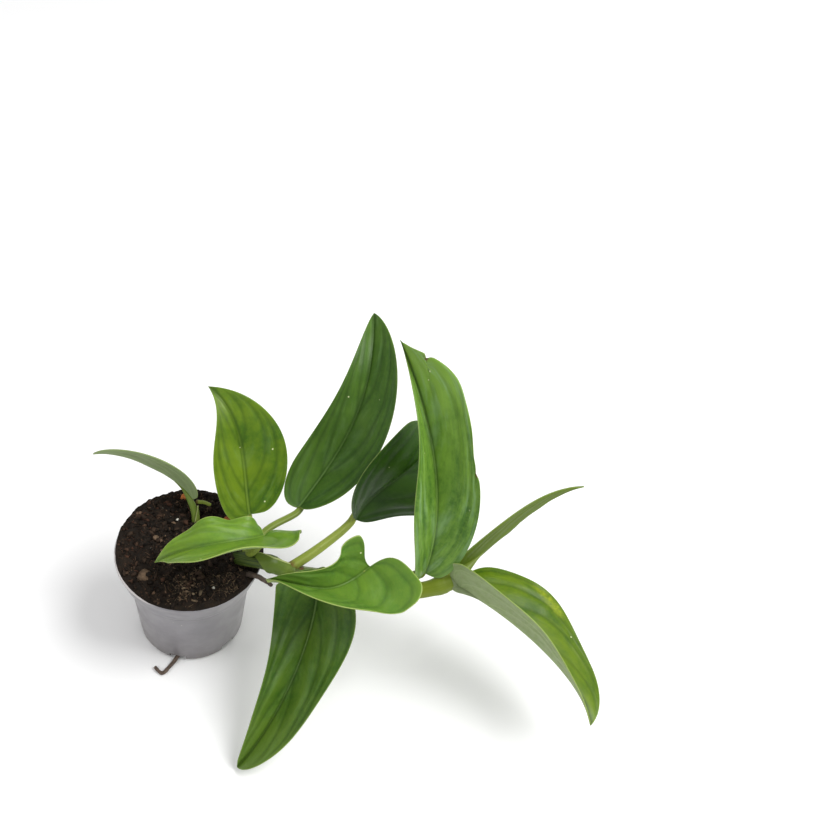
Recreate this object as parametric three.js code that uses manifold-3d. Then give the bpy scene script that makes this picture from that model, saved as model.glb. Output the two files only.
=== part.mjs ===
// A young trailing aroid in a small nursery pot. One stem leaves the soil, sags over the rim and carries
// eight leaves; two more stand on the soil. Millimetres, +Z up, origin at the centre of the pot's base.
import * as THREE from 'three';
import { mergeVertices } from 'three/addons/utils/BufferGeometryUtils.js';
import Module from 'manifold-3d';

const wasm = await Module();
wasm.setup();

// Driving dimensions
const clearance = 0.3;
const pot = {
  height: 51,
  wall: 0.9,
  rimRadius: 30,
  collarRadius: 27.2,
  collarHeight: 40.2,
  neckRadius: 24.75,
  neckHeight: 35.8,
  bodyRadius: 22,
  footRadius: 20.8,
  footHeight: 2,
  lip: 1.1,
  lipHeight: 1.2,
  round: 0.3,
  floor: 1.2,
  segments: 48,
};
const slots = { count: 6, width: 7, height: 3.8, depth: 6, turn: 30 };
const soil = {
  edgeHeight: pot.height - 0.2,
  dome: 3.2,
  backRise: 1.2,
  rings: 11,
  spokes: 44,
  wallGap: 0.4,
};
// Lumps of the soil: waves with a height in mm, a turn along x and y in radians per mm and a start
const lumps = [
  { height: 0.4, along: [0.62, 0.71], start: 0.9 },
  { height: 0.35, along: [0.62, -0.71], start: 1.7 },
  { height: 0.45, along: [1.35, -0.9], start: 0 },
  { height: 0.3, along: [1.1, 1.9], start: 3.6 },
];
const lumpAtEdge = 0.35;
const blade = {
  thickness: 0.7,
  ribs: 18,
  steps: 6,
  veinEvery: 3,
  groove: 0.35,
  ribRun: 0.02,
  ribBow: 0.42,
  baseCrowding: 1.7,
  tipCrowding: 1.25,
};

// Leaves. base, bend and tip are the midrib's control points, and face is where the upper side looks at
// the base and at the tip. Pairs are right and left half, seen from above with the tip up: width in mm,
// widest as a share of the length, lobe as mm behind the base, shoulder and taper as shares of the width,
// fold in degrees upwards from flat, arch in degrees per 10 mm and wave in mm.
const level = { arch: [-7, -7], wave: [0, 0], wavePhase: [0, 0], waves: 1.5 };
const leaves = [
  {
    ...level,
    base: [-3, 17, 62], bend: [[-12, 24, 71], [-34, 19, 83]], tip: [-46, 22, 73],
    face: [[-0.2, 0.8, 0.6], [-0.2, 0.9, 0.4]],
    width: [9, 9.5], widest: [0.32, 0.31], lobe: [0.5, 0.5], shoulder: [0.5, 0.5], taper: [0.2, 0.25],
    fold: [15, 15], foldTip: [8, 12],
  },
  {
    ...level,
    base: [21, 15, 62], bend: [[15, 25, 77], [15, 34, 100]], tip: [-3, 40, 106],
    face: [[0.4, -0.6, 0.65], [0.2, -0.65, 0.75]],
    width: [18, 13.5], widest: [0.41, 0.36], lobe: [0.5, 0.5], shoulder: [0.3, 0.55], taper: [0.37, 0.28],
    fold: [9, 19], foldTip: [12, 25],
  },
  {
    ...level,
    base: [31, -3, 74], bend: [[27, -12.7, 82], [7.8, -20.2, 85.7]], tip: [-9, -17, 62],
    face: [[0.25, -0.55, 0.8], [0.35, -0.7, 0.6]],
    width: [10.3, 17.2], widest: [0.33, 0.4], lobe: [0.8, 17], shoulder: [0.62, 0.49], taper: [0.3, 0.15],
    fold: [-17, 67], foldTip: [-20, 90], arch: [-14, 10],
    wave: [3, -1.2], wavePhase: [0.09, 0.05], waves: 2.5,
  },
  {
    ...level,
    base: [40, 24, 62], bend: [[53, 51, 74], [64, 41, 114]], tip: [55, 85, 121],
    face: [[-0.3, -0.6, 0.75], [-0.1, -0.7, 0.7]],
    width: [19, 13.5], widest: [0.43, 0.19], lobe: [0.5, 2], shoulder: [0.1, 0.3], taper: [0.58, 0.5],
    fold: [28, 21], foldTip: [34, 24],
  },
  {
    ...level,
    base: [64, 24, 60], bend: [[69, 38, 71], [87.7, 27.2, 91.7]], tip: [91, 60, 88],
    face: [[0.55, -0.75, 0.33], [-0.15, -0.7, 0.7]],
    width: [20.2, 18.8], widest: [0.48, 0.55], lobe: [-0.2, -0.2], shoulder: [0.08, 0.08], taper: [0.2, 0.6],
    fold: [1, 37], foldTip: [33, 37],
  },
  {
    ...level,
    base: [96, 6, 57.4], bend: [[100, 13.5, 85.8], [91, 32.8, 113.8]], tip: [68, 67, 126],
    face: [[0.4, -0.7, 0.6], [-0.05, -0.65, 0.75]],
    width: [20.6, 14.6], widest: [0.71, 0.24], lobe: [0.3, 0.9], shoulder: [0.22, 0.43], taper: [0.16, 0.14],
    fold: [31, 44], foldTip: [62, 67], wave: [-2, -2], wavePhase: [0, -0.25],
  },
  {
    ...level,
    base: [53, -1.2, 53.5], bend: [[58.5, -8.8, 34], [52.4, -50.7, 23.2]], tip: [37, -65, 2.2],
    face: [[-0.1, -0.8, 0.6], [-0.1, -0.75, 0.65]],
    width: [17.2, 20.7], widest: [0.06, 0.26], lobe: [3.1, 4], shoulder: [0.45, 0.32], taper: [0.5, 0.78],
    fold: [32, 32], foldTip: [44, 51], wave: [-1.8, -2], wavePhase: [0, -0.1],
  },
  {
    ...level,
    base: [74, -2, 66], bend: [[60, -14.8, 54.3], [56, -23, 78]], tip: [35, -16, 64],
    face: [[-0.2, -0.45, 0.87], [0.13, 0.09, 1]],
    width: [16.8, 26.3], widest: [-0.02, -0.12], lobe: [3.5, 12.5], shoulder: [0.96, 0.76], taper: [0.19, 0.14],
    fold: [51, 19], foldTip: [78, 58], arch: [0, 0],
  },
  {
    ...level,
    base: [111, 14, 56], bend: [[126, 29, 61], [141, 55, 65]], tip: [158, 61, 67],
    face: [[-0.63, 0.76, 0.13], [-0.64, 0.73, 0.25]],
    width: [10.7, 9.9], widest: [0.32, 0.33], lobe: [1.2, 1], shoulder: [0.53, 0.5], taper: [0.28, 0.2],
    fold: [14, 13], foldTip: [10, 10],
  },
  {
    ...level,
    base: [112, 4, 56], bend: [[128.7, -4.3, 59.7], [168, -16, 41]], tip: [172, -36, 37],
    face: [[0.5, 0.6, 0.6], [0.3, 0.6, 0.75]],
    width: [15.5, 22.4], widest: [0.24, 0.37], lobe: [1.6, 1.2], shoulder: [0.54, 0.31], taper: [0.14, 0.67],
    fold: [44, 60], foldTip: [19, 33], wave: [-0.8, -2], wavePhase: [0, 0.13],
  },
];

// Stems. Each is a list of points along its axis, with its radius at both ends and its node swellings.
const trunk = {
  points: [
    [17, 4, 43], [20, 0, 51], [26, -3, 56], [34, -3, 56.5], [42, -2, 52], [54, 3.5, 44.5],
    [67, 3.5, 43.5], [82, 1, 46.5], [96, 2.5, 50], [103, 4.5, 52.6], [108, 6.5, 54.8],
  ],
  radius: [2.8, 3.4],
  steps: 36,
  sides: 10,
};
const node = { height: 0.5, halfWidth: 0.025, places: [0.24, 0.36, 0.49, 0.64, 0.78, 0.95] };
const stalkSteps = 7;
const stalkSides = 8;
const stalks = [
  { leaf: 1, from: [21, 0, 50], via: [23, 7, 56], radius: [1.6, 1.3] },
  { leaf: 2, from: [22, 0, 51], via: [28, -3, 64], radius: [1.6, 1.3] },
  { leaf: 3, from: [22, -1, 52], via: [29, 11, 58.5], radius: [1.9, 1.9] },
  { leaf: 4, from: [41, -2, 53], via: [51, 7, 57.5], radius: [2.2, 1.5] },
  { leaf: 5, from: [87, 1, 47.5], via: [92, 7, 53], radius: [2, 1.4] },
  { leaf: 6, from: [57, 3.5, 44], via: [55, 4, 48], radius: [2, 1.5], square: true },
  { leaf: 7, from: [73, 3, 45], via: [77, 3, 57], radius: [2, 1.5], square: true },
  { leaf: 8, from: [104, 5, 54], via: [106.4, 10.6, 54.4], radius: [2, 1.3] },
  { leaf: 9, from: [104, 5, 54], via: [108.5, 4, 54.2], radius: [2.2, 1.6] },
];
// A stalk runs on under the blade and thins out as its midrib. A square one meets the blade end on instead.
const midribRun = { length: 6, thinning: 0.6, stops: [-0.3, 0.4, 1] };
const bladeGap = 0.55;
const squareInset = 3;
const leftShoot = { from: [-1, 9, 44], via: [-1, 12, 56], radius: [1.9, 1.4] };
const stub = { points: [[-2.2, 14, 58.4], [0, 18, 58.9], [3, 18.6, 57.1]], radius: [1.1, 0.9], steps: 5 };
const rimRoot = {
  points: [[24, -6, 47], [26.5, -7, 51.6], [30, -8.5, 53.5], [33.5, -8.5, 51.6], [36, -8, 48.5]],
  radius: [1.3, 0.8],
  steps: 9,
};
const drainRoot = {
  points: [[0, -17, 2.8], [0, -21, 2], [-2, -26, 1.05], [-4, -30, 1.05], [-6, -29.5, 1.05], [-8, -28, 1.05]],
  radius: [0.9, 0.7],
  steps: 9,
};
const rootSides = 6;

const colours = {
  pot: '#8f8b90',
  soil: '#33261c',
  stem: '#6c7a2e',
  shoot: '#7f8f5c',
  root: '#5a4636',
  leaf: '#4f7a28',
};

function vector(point) {
  return new THREE.Vector3(...point);
}

function mix(from, to, share) {
  return from + (to - from) * share;
}

// A closed body from loose triangles: vertices in one place become one, and flat triangles go
function closedGeometry(positions, index) {
  const loose = new THREE.BufferGeometry();
  loose.setAttribute('position', new THREE.Float32BufferAttribute(positions, 3));
  loose.setIndex(index);
  const merged = mergeVertices(loose, 1e-4);
  const corners = merged.getIndex().array;
  const kept = [];
  for (let i = 0; i < corners.length; i += 3) {
    const [a, b, c] = corners.slice(i, i + 3);
    if (a !== b && b !== c && c !== a) {
      kept.push(a, b, c);
    }
  }
  merged.setIndex(kept);
  return merged;
}

function toSolid(geometry) {
  const bare = geometry.clone();
  bare.deleteAttribute('normal');
  bare.deleteAttribute('uv');
  const merged = mergeVertices(bare, 1e-4);
  return new wasm.Manifold(new wasm.Mesh({
    numProp: 3,
    vertProperties: new Float32Array(merged.getAttribute('position').array),
    triVerts: new Uint32Array(merged.getIndex().array),
  }));
}

function toGeometry(solid) {
  const mesh = solid.getMesh();
  const geometry = new THREE.BufferGeometry();
  geometry.setAttribute('position', new THREE.Float32BufferAttribute(mesh.vertProperties, 3));
  geometry.setIndex(Array.from(mesh.triVerts));
  return geometry;
}

// The margin of one half of a flat blade, from the stalk round to the tip: x along the midrib, y outwards
function marginCurve(leaf, length, half) {
  const width = leaf.width[half];
  const lobe = leaf.lobe[half];
  const widest = leaf.widest[half] * length;
  const shoulder = leaf.shoulder[half];
  const corners = [
    [[0, 0], [-0.75 * lobe, 0.03 * width], [-lobe, 0.16 * width], [-lobe, shoulder * width]],
    [
      [-lobe, shoulder * width], [-lobe, 0.5 * (shoulder + 1) * width],
      [widest - 0.55 * (widest + lobe), width], [widest, width],
    ],
    [
      [widest, width], [widest + 0.45 * (length - widest), width],
      [widest + 0.7 * (length - widest), leaf.taper[half] * width], [length, 0],
    ],
  ];
  const curve = new THREE.CurvePath();
  for (const points of corners) {
    curve.add(new THREE.CubicBezierCurve(...points.map(([x, y]) => new THREE.Vector2(x, y))));
  }
  return curve;
}

function midribCurve(leaf) {
  return new THREE.CubicBezierCurve3(...[leaf.base, ...leaf.bend, leaf.tip].map(vector));
}

// Place on the midrib with its directions: along it, up from the blade and out to the right half.
// Behind the base the midrib runs straight on.
function midribFrame(leaf, curve, length, x) {
  const share = THREE.MathUtils.clamp(x / length, 0, 1);
  const along = curve.getTangentAt(share);
  const place = curve.getPointAt(share).addScaledVector(along, Math.min(x, 0));
  const face = vector(leaf.face[0]).normalize().lerp(vector(leaf.face[1]).normalize(), share);
  const up = face.addScaledVector(along, -face.dot(along)).normalize();
  return { place, along, up, out: new THREE.Vector3().crossVectors(along, up), share };
}

// A point of one half of the blade, y mm out from the midrib, with the blade's own upward direction there.
// The section is an arc that leaves the midrib at the fold angle.
function bladePoint(leaf, curve, length, half, x, y, edge) {
  const side = half === 0 ? 1 : -1;
  const { place, up, out, share } = midribFrame(leaf, curve, length, x);
  const fold = THREE.MathUtils.degToRad(mix(leaf.fold[half], leaf.foldTip[half], share));
  const bend = THREE.MathUtils.degToRad(leaf.arch[half]) / 10 || 1e-6;
  const turn = fold + bend * y;
  const across = (Math.sin(turn) - Math.sin(fold)) / bend;
  const rise = (Math.cos(fold) - Math.cos(turn)) / bend;
  const outwards = up.clone().multiplyScalar(Math.cos(turn)).addScaledVector(out, -side * Math.sin(turn));
  const cycle = (leaf.waves * x) / length + leaf.wavePhase[half];
  const wave = leaf.wave[half] * Math.sin(2 * Math.PI * cycle) * edge ** 2 * Math.min(1, 4 * (1 - share));
  place.addScaledVector(out, side * across).addScaledVector(up, rise).addScaledVector(outwards, wave);
  return { place, outwards };
}

// From the midrib's upper edge to its keel, where the undersides of both halves meet
function keelVector(leaf, { up, out, share }) {
  const [right, left] = [0, 1].map((half) => THREE.MathUtils.degToRad(
    mix(leaf.fold[half], leaf.foldTip[half], share)));
  const keel = up.clone().multiplyScalar(-Math.cos(right) - Math.cos(left));
  keel.addScaledVector(out, Math.sin(right) - Math.sin(left));
  return keel.divideScalar(1 + Math.cos(right + left));
}

// One half of the blade as a net of points. Its rows follow the side veins, from the midrib to the margin,
// and every third row lies in the groove of a vein.
function bladeNet(leaf, half) {
  const curve = midribCurve(leaf);
  const length = curve.getLength();
  const margin = marginCurve(leaf, length, half);
  const rows = [];
  for (let rib = 0; rib <= blade.ribs; rib += 1) {
    const share = rib / blade.ribs;
    const swell = Math.sin(Math.PI * share);
    const end = margin.getPoint(1 - (1 - share) ** blade.tipCrowding);
    const start = new THREE.Vector2(length * share ** blade.baseCrowding, 0);
    const pull = start.clone().add(end).multiplyScalar(0.5);
    pull.x += blade.ribRun * length * swell * (1 - share);
    pull.y += blade.ribBow * leaf.width[half] * swell * Math.sqrt(1 - share);
    const ribCurve = new THREE.QuadraticBezierCurve(start, pull, end);
    const isVein = rib % blade.veinEvery === 0;
    const row = [];
    for (let step = 0; step <= blade.steps; step += 1) {
      const across = step / blade.steps;
      const flat = ribCurve.getPoint(across);
      const y = Math.max(flat.y, 0);
      const { place, outwards } = bladePoint(leaf, curve, length, half, flat.x, y, y / leaf.width[half]);
      const onMidrib = rib === 0 || rib === blade.ribs || step === 0;
      if (isVein && !onMidrib) {
        place.addScaledVector(outwards, -blade.groove * Math.sqrt(Math.sin(Math.PI * across) * swell));
      }
      const below = onMidrib
        ? keelVector(leaf, midribFrame(leaf, curve, length, flat.x))
        : outwards.negate();
      row.push({ place, below });
    }
    rows.push(row);
  }
  return rows;
}

// Both halves, with an upper and a lower face split alike and a wall along the margin
function bladeGeometry(leaf) {
  const positions = [];
  const index = [];
  for (const half of [0, 1]) {
    const rows = bladeNet(leaf, half);
    const perRow = blade.steps + 1;
    const faceStart = [0, 0];
    for (const face of [0, 1]) {
      faceStart[face] = positions.length / 3;
      for (const row of rows) {
        for (const { place, below } of row) {
          positions.push(...place.clone().addScaledVector(below, face * blade.thickness));
        }
      }
    }
    const addTriangle = (a, b, c) => {
      index.push(...(half === 0 ? [a, b, c] : [a, c, b]));
    };
    const [upper, lower] = faceStart;
    for (let rib = 0; rib < blade.ribs; rib += 1) {
      for (let step = 0; step < blade.steps; step += 1) {
        const near = rib * perRow + step;
        const far = near + perRow;
        addTriangle(upper + near, upper + near + 1, upper + far + 1);
        addTriangle(upper + near, upper + far + 1, upper + far);
        addTriangle(lower + near, lower + far + 1, lower + near + 1);
        addTriangle(lower + near, lower + far, lower + far + 1);
      }
      const near = rib * perRow + blade.steps;
      const far = near + perRow;
      addTriangle(upper + near, lower + near, lower + far);
      addTriangle(upper + near, lower + far, upper + far);
    }
  }
  return closedGeometry(positions, index);
}

// A closed round tube along a smooth curve, with a radius for each share of its length and its ends moved out
function tubeGeometry(points, steps, sides, radiusAt, endShift) {
  const curve = new THREE.CatmullRomCurve3(points.map(vector), false, 'centripetal');
  const frames = curve.computeFrenetFrames(steps, false);
  const length = curve.getLength();
  const positions = [];
  const index = [];
  for (let step = 0; step <= steps; step += 1) {
    const share = step / steps;
    const centre = curve.getPointAt(share);
    if (step === 0 || step === steps) {
      centre.addScaledVector(frames.tangents[step], step === 0 ? -endShift : endShift);
    }
    for (let side = 0; side < sides; side += 1) {
      const angle = (2 * Math.PI * side) / sides;
      const spoke = frames.normals[step].clone().multiplyScalar(Math.cos(angle));
      spoke.addScaledVector(frames.binormals[step], Math.sin(angle));
      positions.push(...centre.clone().addScaledVector(spoke, radiusAt(share, length)));
    }
  }
  for (let step = 0; step < steps; step += 1) {
    for (let side = 0; side < sides; side += 1) {
      const a = step * sides + side;
      const b = step * sides + ((side + 1) % sides);
      index.push(a, b, b + sides, a, b + sides, a + sides);
    }
  }
  for (let side = 1; side < sides - 1; side += 1) {
    const last = steps * sides;
    index.push(0, side + 1, side, last, last + side, last + side + 1);
  }
  return closedGeometry(positions, index);
}

function trunkGeometry(extra) {
  const radiusAt = (share) => {
    const swelling = node.places.reduce(
      (sum, place) => sum + node.height * Math.exp(-(((share - place) / node.halfWidth) ** 2)), 0);
    return mix(...trunk.radius, share) + swelling + extra;
  };
  return tubeGeometry(trunk.points, trunk.steps, trunk.sides, radiusAt, extra);
}

// The last points of a stalk keep clear of the blade's keel
function stalkPoints(stalk, leaf) {
  const curve = midribCurve(leaf);
  const length = curve.getLength();
  const under = (run, drop) => {
    const frame = midribFrame(leaf, curve, length, run);
    const keel = keelVector(leaf, frame);
    const depth = keel.length() * blade.thickness + bladeGap + drop;
    return frame.place.addScaledVector(keel.normalize(), depth).toArray();
  };
  if (stalk.square) {
    return [stalk.from, stalk.via, under(midribRun.length / 2, squareInset), under(midribRun.length / 2, 0)];
  }
  const runs = midribRun.stops.map((share) => {
    const thinned = 1 - midribRun.thinning * Math.max(share, 0);
    return under(share * midribRun.length, stalk.radius[1] * thinned);
  });
  return [stalk.from, stalk.via, ...runs];
}

function stalkGeometry(stalk, leaf, extra) {
  const radiusAt = (share, length) => {
    const start = stalk.square ? length : length - midribRun.length;
    const thinned = 1 - midribRun.thinning * THREE.MathUtils.smoothstep(share * length, start, length);
    return mix(...stalk.radius, share) * thinned + extra;
  };
  return tubeGeometry(stalkPoints(stalk, leaf), stalkSteps, stalkSides, radiusAt, extra);
}

function stemSolid(extra) {
  let solid = toSolid(trunkGeometry(extra));
  for (const stalk of stalks) {
    solid = solid.add(toSolid(stalkGeometry(stalk, leaves[stalk.leaf], extra)));
  }
  return solid;
}

function shootSolid(extra) {
  const stubRadius = (share) => mix(...stub.radius, share) + extra;
  const solid = toSolid(stalkGeometry(leftShoot, leaves[0], extra));
  return solid.add(toSolid(tubeGeometry(stub.points, stub.steps, rootSides, stubRadius, extra)));
}

function rootSolid(root, extra) {
  const radiusAt = (share) => mix(...root.radius, share) + extra;
  return toSolid(tubeGeometry(root.points, root.steps, rootSides, radiusAt, extra));
}

// Inner wall of the pot, from the floor up, moved inwards by a gap
function potInside(gap) {
  const inset = pot.wall + gap;
  return [
    [pot.footRadius - inset + pot.round, pot.floor + gap],
    [pot.bodyRadius - inset, pot.footHeight + pot.floor],
    [pot.neckRadius - inset, pot.neckHeight],
    [pot.collarRadius - inset, pot.collarHeight],
    [pot.rimRadius - pot.lip - gap, pot.height - pot.lipHeight],
  ];
}

function slotSolid(turn) {
  const box = new THREE.BoxGeometry(slots.depth, slots.width, 2 * slots.height);
  box.translate(pot.footRadius, 0, 0);
  box.rotateZ(THREE.MathUtils.degToRad(turn));
  return toSolid(box);
}

function potSolid() {
  const profile = [
    [0, 0],
    [pot.footRadius, 0],
    [pot.bodyRadius, pot.footHeight],
    [pot.neckRadius, pot.neckHeight],
    [pot.collarRadius, pot.collarHeight],
    [pot.rimRadius - pot.round, pot.height - pot.lipHeight],
    [pot.rimRadius, pot.height - 0.5 * pot.lipHeight],
    [pot.rimRadius - pot.round, pot.height],
    [pot.rimRadius - pot.lip, pot.height],
    ...potInside(0).reverse(),
    [0, pot.floor],
  ];
  const lathe = new THREE.LatheGeometry(profile.map(([x, y]) => new THREE.Vector2(x, y)), pot.segments);
  lathe.rotateX(Math.PI / 2);
  let solid = toSolid(lathe);
  for (let i = 0; i < slots.count; i += 1) {
    solid = solid.subtract(slotSolid(slots.turn + (360 * i) / slots.count));
  }
  return solid;
}

// Height of the soil's lumpy top: level with the rim at the edge, a low dome, and higher at the back
function soilHeight(radius, angle, edgeRadius) {
  const x = radius * Math.cos(angle);
  const y = radius * Math.sin(angle);
  const inward = 1 - (radius / edgeRadius) ** 2;
  const lumpy = lumps.reduce(
    (sum, { height, along, start }) => sum + height * Math.sin(along[0] * x + along[1] * y + start), 0);
  const back = 0.5 - (0.5 * (x - y)) / (Math.SQRT2 * edgeRadius);
  const domed = soil.edgeHeight + soil.dome * inward + soil.backRise * back;
  return domed + lumpy * mix(lumpAtEdge, 1, inward);
}

function soilGeometry() {
  const wallProfile = potInside(soil.wallGap);
  const edgeRadius = wallProfile[wallProfile.length - 1][0];
  const positions = [0, 0, wallProfile[0][1]];
  const index = [];
  const ring = (radius, heightAt) => {
    for (let spoke = 0; spoke < soil.spokes; spoke += 1) {
      const angle = (2 * Math.PI * spoke) / soil.spokes;
      positions.push(radius * Math.cos(angle), radius * Math.sin(angle), heightAt(angle));
    }
  };
  for (const [radius, height] of wallProfile.slice(0, -1)) {
    ring(radius, () => height);
  }
  for (let i = 0; i < soil.rings; i += 1) {
    const radius = edgeRadius * (1 - i / soil.rings) ** 0.8;
    ring(radius, (angle) => soilHeight(radius, angle, edgeRadius));
  }
  positions.push(0, 0, soilHeight(0, 0, edgeRadius));
  const top = positions.length / 3 - 1;
  const rings = wallProfile.length - 1 + soil.rings;
  for (let spoke = 0; spoke < soil.spokes; spoke += 1) {
    const next = (spoke + 1) % soil.spokes;
    index.push(0, 1 + next, 1 + spoke);
    for (let i = 0; i < rings - 1; i += 1) {
      const a = 1 + i * soil.spokes + spoke;
      const b = 1 + i * soil.spokes + next;
      index.push(a, b, b + soil.spokes, a, b + soil.spokes, a + soil.spokes);
    }
    const last = 1 + (rings - 1) * soil.spokes;
    index.push(last + spoke, last + next, top);
  }
  return closedGeometry(positions, index);
}

const group = new THREE.Group();

function addPart(name, geometry, colour, roughness) {
  const material = new THREE.MeshStandardMaterial({ color: colour, roughness, metalness: 0 });
  const mesh = new THREE.Mesh(geometry, material);
  mesh.name = name;
  group.add(mesh);
}

function makePlant() {
  const soilBody = toSolid(soilGeometry())
    .subtract(stemSolid(clearance))
    .subtract(shootSolid(clearance))
    .subtract(rootSolid(rimRoot, clearance))
    .subtract(rootSolid(drainRoot, clearance));
  addPart('pot', toGeometry(potSolid()), colours.pot, 0.45);
  addPart('soil', toGeometry(soilBody), colours.soil, 0.95);
  addPart('stem', toGeometry(stemSolid(0)), colours.stem, 0.5);
  addPart('left_shoot', toGeometry(shootSolid(0)), colours.shoot, 0.5);
  addPart('rim_root', toGeometry(rootSolid(rimRoot, 0)), colours.root, 0.8);
  addPart('drain_root', toGeometry(rootSolid(drainRoot, 0)), colours.root, 0.8);
  leaves.forEach((leaf, i) => {
    addPart(`leaf_${i + 1}`, bladeGeometry(leaf), colours.leaf, 0.4);
  });
}

makePlant();

export default group;
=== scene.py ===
"""A young trailing aroid in a small nursery pot: fine leaves, stems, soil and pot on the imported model.

Lengths are in millimetres until a mesh is made. The frame has its origin at the centre of the pot's
base, +Z up and +X the way the stem runs out over the rim.
"""
import functools
import math
import random

import bmesh
import bpy
import numpy as np
from mathutils import Matrix, Vector, noise


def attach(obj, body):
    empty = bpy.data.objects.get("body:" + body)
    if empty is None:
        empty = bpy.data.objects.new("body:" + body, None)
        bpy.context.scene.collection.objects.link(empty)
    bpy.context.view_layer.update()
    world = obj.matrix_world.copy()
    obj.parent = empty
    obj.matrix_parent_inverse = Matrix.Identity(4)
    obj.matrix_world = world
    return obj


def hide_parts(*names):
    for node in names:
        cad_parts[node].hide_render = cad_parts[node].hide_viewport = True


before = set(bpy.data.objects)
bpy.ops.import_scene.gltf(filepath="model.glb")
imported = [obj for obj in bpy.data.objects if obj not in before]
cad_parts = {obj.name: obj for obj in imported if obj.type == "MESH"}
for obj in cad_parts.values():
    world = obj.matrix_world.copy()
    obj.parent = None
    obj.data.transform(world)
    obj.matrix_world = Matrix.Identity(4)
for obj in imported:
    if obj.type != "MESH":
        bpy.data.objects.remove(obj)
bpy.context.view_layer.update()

MM = 0.001
TINY = 1e-6
SEED = 11

# Camera of the photograph: its place in mm, its tilt and roll in degrees, its focal length in pixels, and
# the nearest that it shows in metres
CAMERA_PLACE = (82.316, -258.158, 425.878)
CAMERA_PITCH = 46.628
CAMERA_ROLL = 11.043
FOCAL_PIXELS = 1100
PICTURE_PIXELS = 840
SENSOR_WIDTH = 36
NEAREST = 0.01

# Pot. BODY, NECK and COLLAR are each a radius and a height on the wall, and SHOULDER is where the collar
# starts and ends to swell out. The foot's edge is a bevel, as width and height, and a curve out to the body,
# as a share of the way and a height.
POT_HEIGHT = 51
POT_WALL = 0.9
RIM_RADIUS = 30
COLLAR = (27.2, 40.2)
COLLAR_INSET = 0.05
NECK = (24.75, 35.8)
SHOULDER = (NECK[1] - 1.6, COLLAR[1] + 1.6)
BODY = (22, 2)
FOOT_RADIUS = 20.8
FOOT_BEVEL = (1, 0.15)
FOOT_CURVE = (0.55, 0.6)
LIP = 1.1
LIP_HEIGHT = 1.2
LIP_DROP = 0.25
INNER_ROUND = 0.3
FLOOR_THICKNESS = 1.2
SLOT_COUNT = 6
SLOT_WIDTH = 7
SLOT_HEIGHT = 3.8
SLOT_DEPTH = 6
SLOT_TURN = 30
POT_SPOKES = 180
WALL_STEPS = (14, 24, 8)
LIP_STEPS = 6
POT_WELD = 0.002
CREASE_ANGLE = 35

# Soil. It reaches over the pot's lip to the radius of SOIL_ON_LIP, with an uneven swing, and further in on
# the side of BARE_LIP, given as an angle from +X and a depth. HEAP_FROM is where the heap at the back left
# starts and is full, as shares of the way from the front right.
SOIL_EDGE_HEIGHT = POT_HEIGHT - 0.2
SOIL_DOME = 3.2
SOIL_BACK_RISE = 1.2
SOIL_EDGE_RADIUS = RIM_RADIUS - LIP - 0.4
SOIL_ON_LIP = (29.85, 0.15)
LIP_RAGGED = (4, 0.8, 2, 3)
SOIL_ON_LIP_MOST = RIM_RADIUS - 0.03
BARE_LIP = (215, 0.42)
SOIL_HEAP = 1.3
HEAP_FROM = (0.62, 0.95)
SOIL_GAP = 0.25
SOIL_DEPTH = 8
SOIL_SPOKES = 240
SOIL_RINGS = 84
RING_CROWDING = 0.75
# Edge of the soil: its lift off the lip, the step up to the surface, how steep and how wide that step is,
# and the height over the rim of the ring inside the lip. SURFACE_DROP sets the crumbled surface down.
EDGE_LIFT = 0.04
EDGE_STEP = 0.08
EDGE_BULGE = 0.7
EDGE_WIDTH = 0.25
UNDER_EDGE = 0.03
SURFACE_DROP = 0.1
# Slow swells of the surface: height, radians a mm along X and along Y, and start in radians
SOIL_LUMPS = (
    (0.4, 0.62, 0.71, 0.9),
    (0.35, 0.62, -0.71, 1.7),
    (0.45, 1.35, -0.9, 0),
    (0.3, 1.1, 1.9, 3.6),
)
LUMP_AT_EDGE = 0.35
# Coarse and fine crumble: height, cells a mm, and the fractal's increment, lacunarity and octaves
CRUMBLE = ((0.85, 0.42, 0.85, 2.1, 4), (0.4, 1.9, 0.8, 2.2, 3))
CRUMBLE_SEED = 3.3
LIP_SEED = 0.4

# Tones of the soil's pieces: 0 peat, 0.35 brown, 0.5 red-brown, 0.65 tan, 0.8 bark, 0.92 grey, 1 perlite.
# A larger SMALL_CRUMBS makes more of the crumbs small.
PEAT_TONE = 0.2
CRUMBS = 2100
CRUMB_SIZE = (0.22, 1.3)
SMALL_CRUMBS = 3.6
CRUMB_STRETCH = ((0.7, 1.6), (0.5, 1.1), (0.4, 0.9))
CRUMB_RISE = 0.15
CRUMB_OVERHANG = 0.6
CHUNK_TILT = 0.7
CHUNK_BUMPS = 1.5
CRUMB_ROUGHNESS = 1.3
LANDMARK_ROUGHNESS = 0.6
LANDMARK_INSET = 0.6
CRUMB_TONES = ((0.68, 0.08), (0.94, 0.3), (0.992, 0.58), (1, 0.92))
# Paler crumbs at the middle of the front: their place, their reach, and their share at the middle
PALE_CRUMBS = (4, -19.5, 5, 0.7)
PALE_TONES = (0.4, 0.56, 0.62, 0.65)
# Bark dust, which grows towards the left: its share at the middle and its growth a mm
BARK_DUST = (0.06, 0.014)
BARK_TONES = (0.38, 0.42, 0.46, 0.56)
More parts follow.
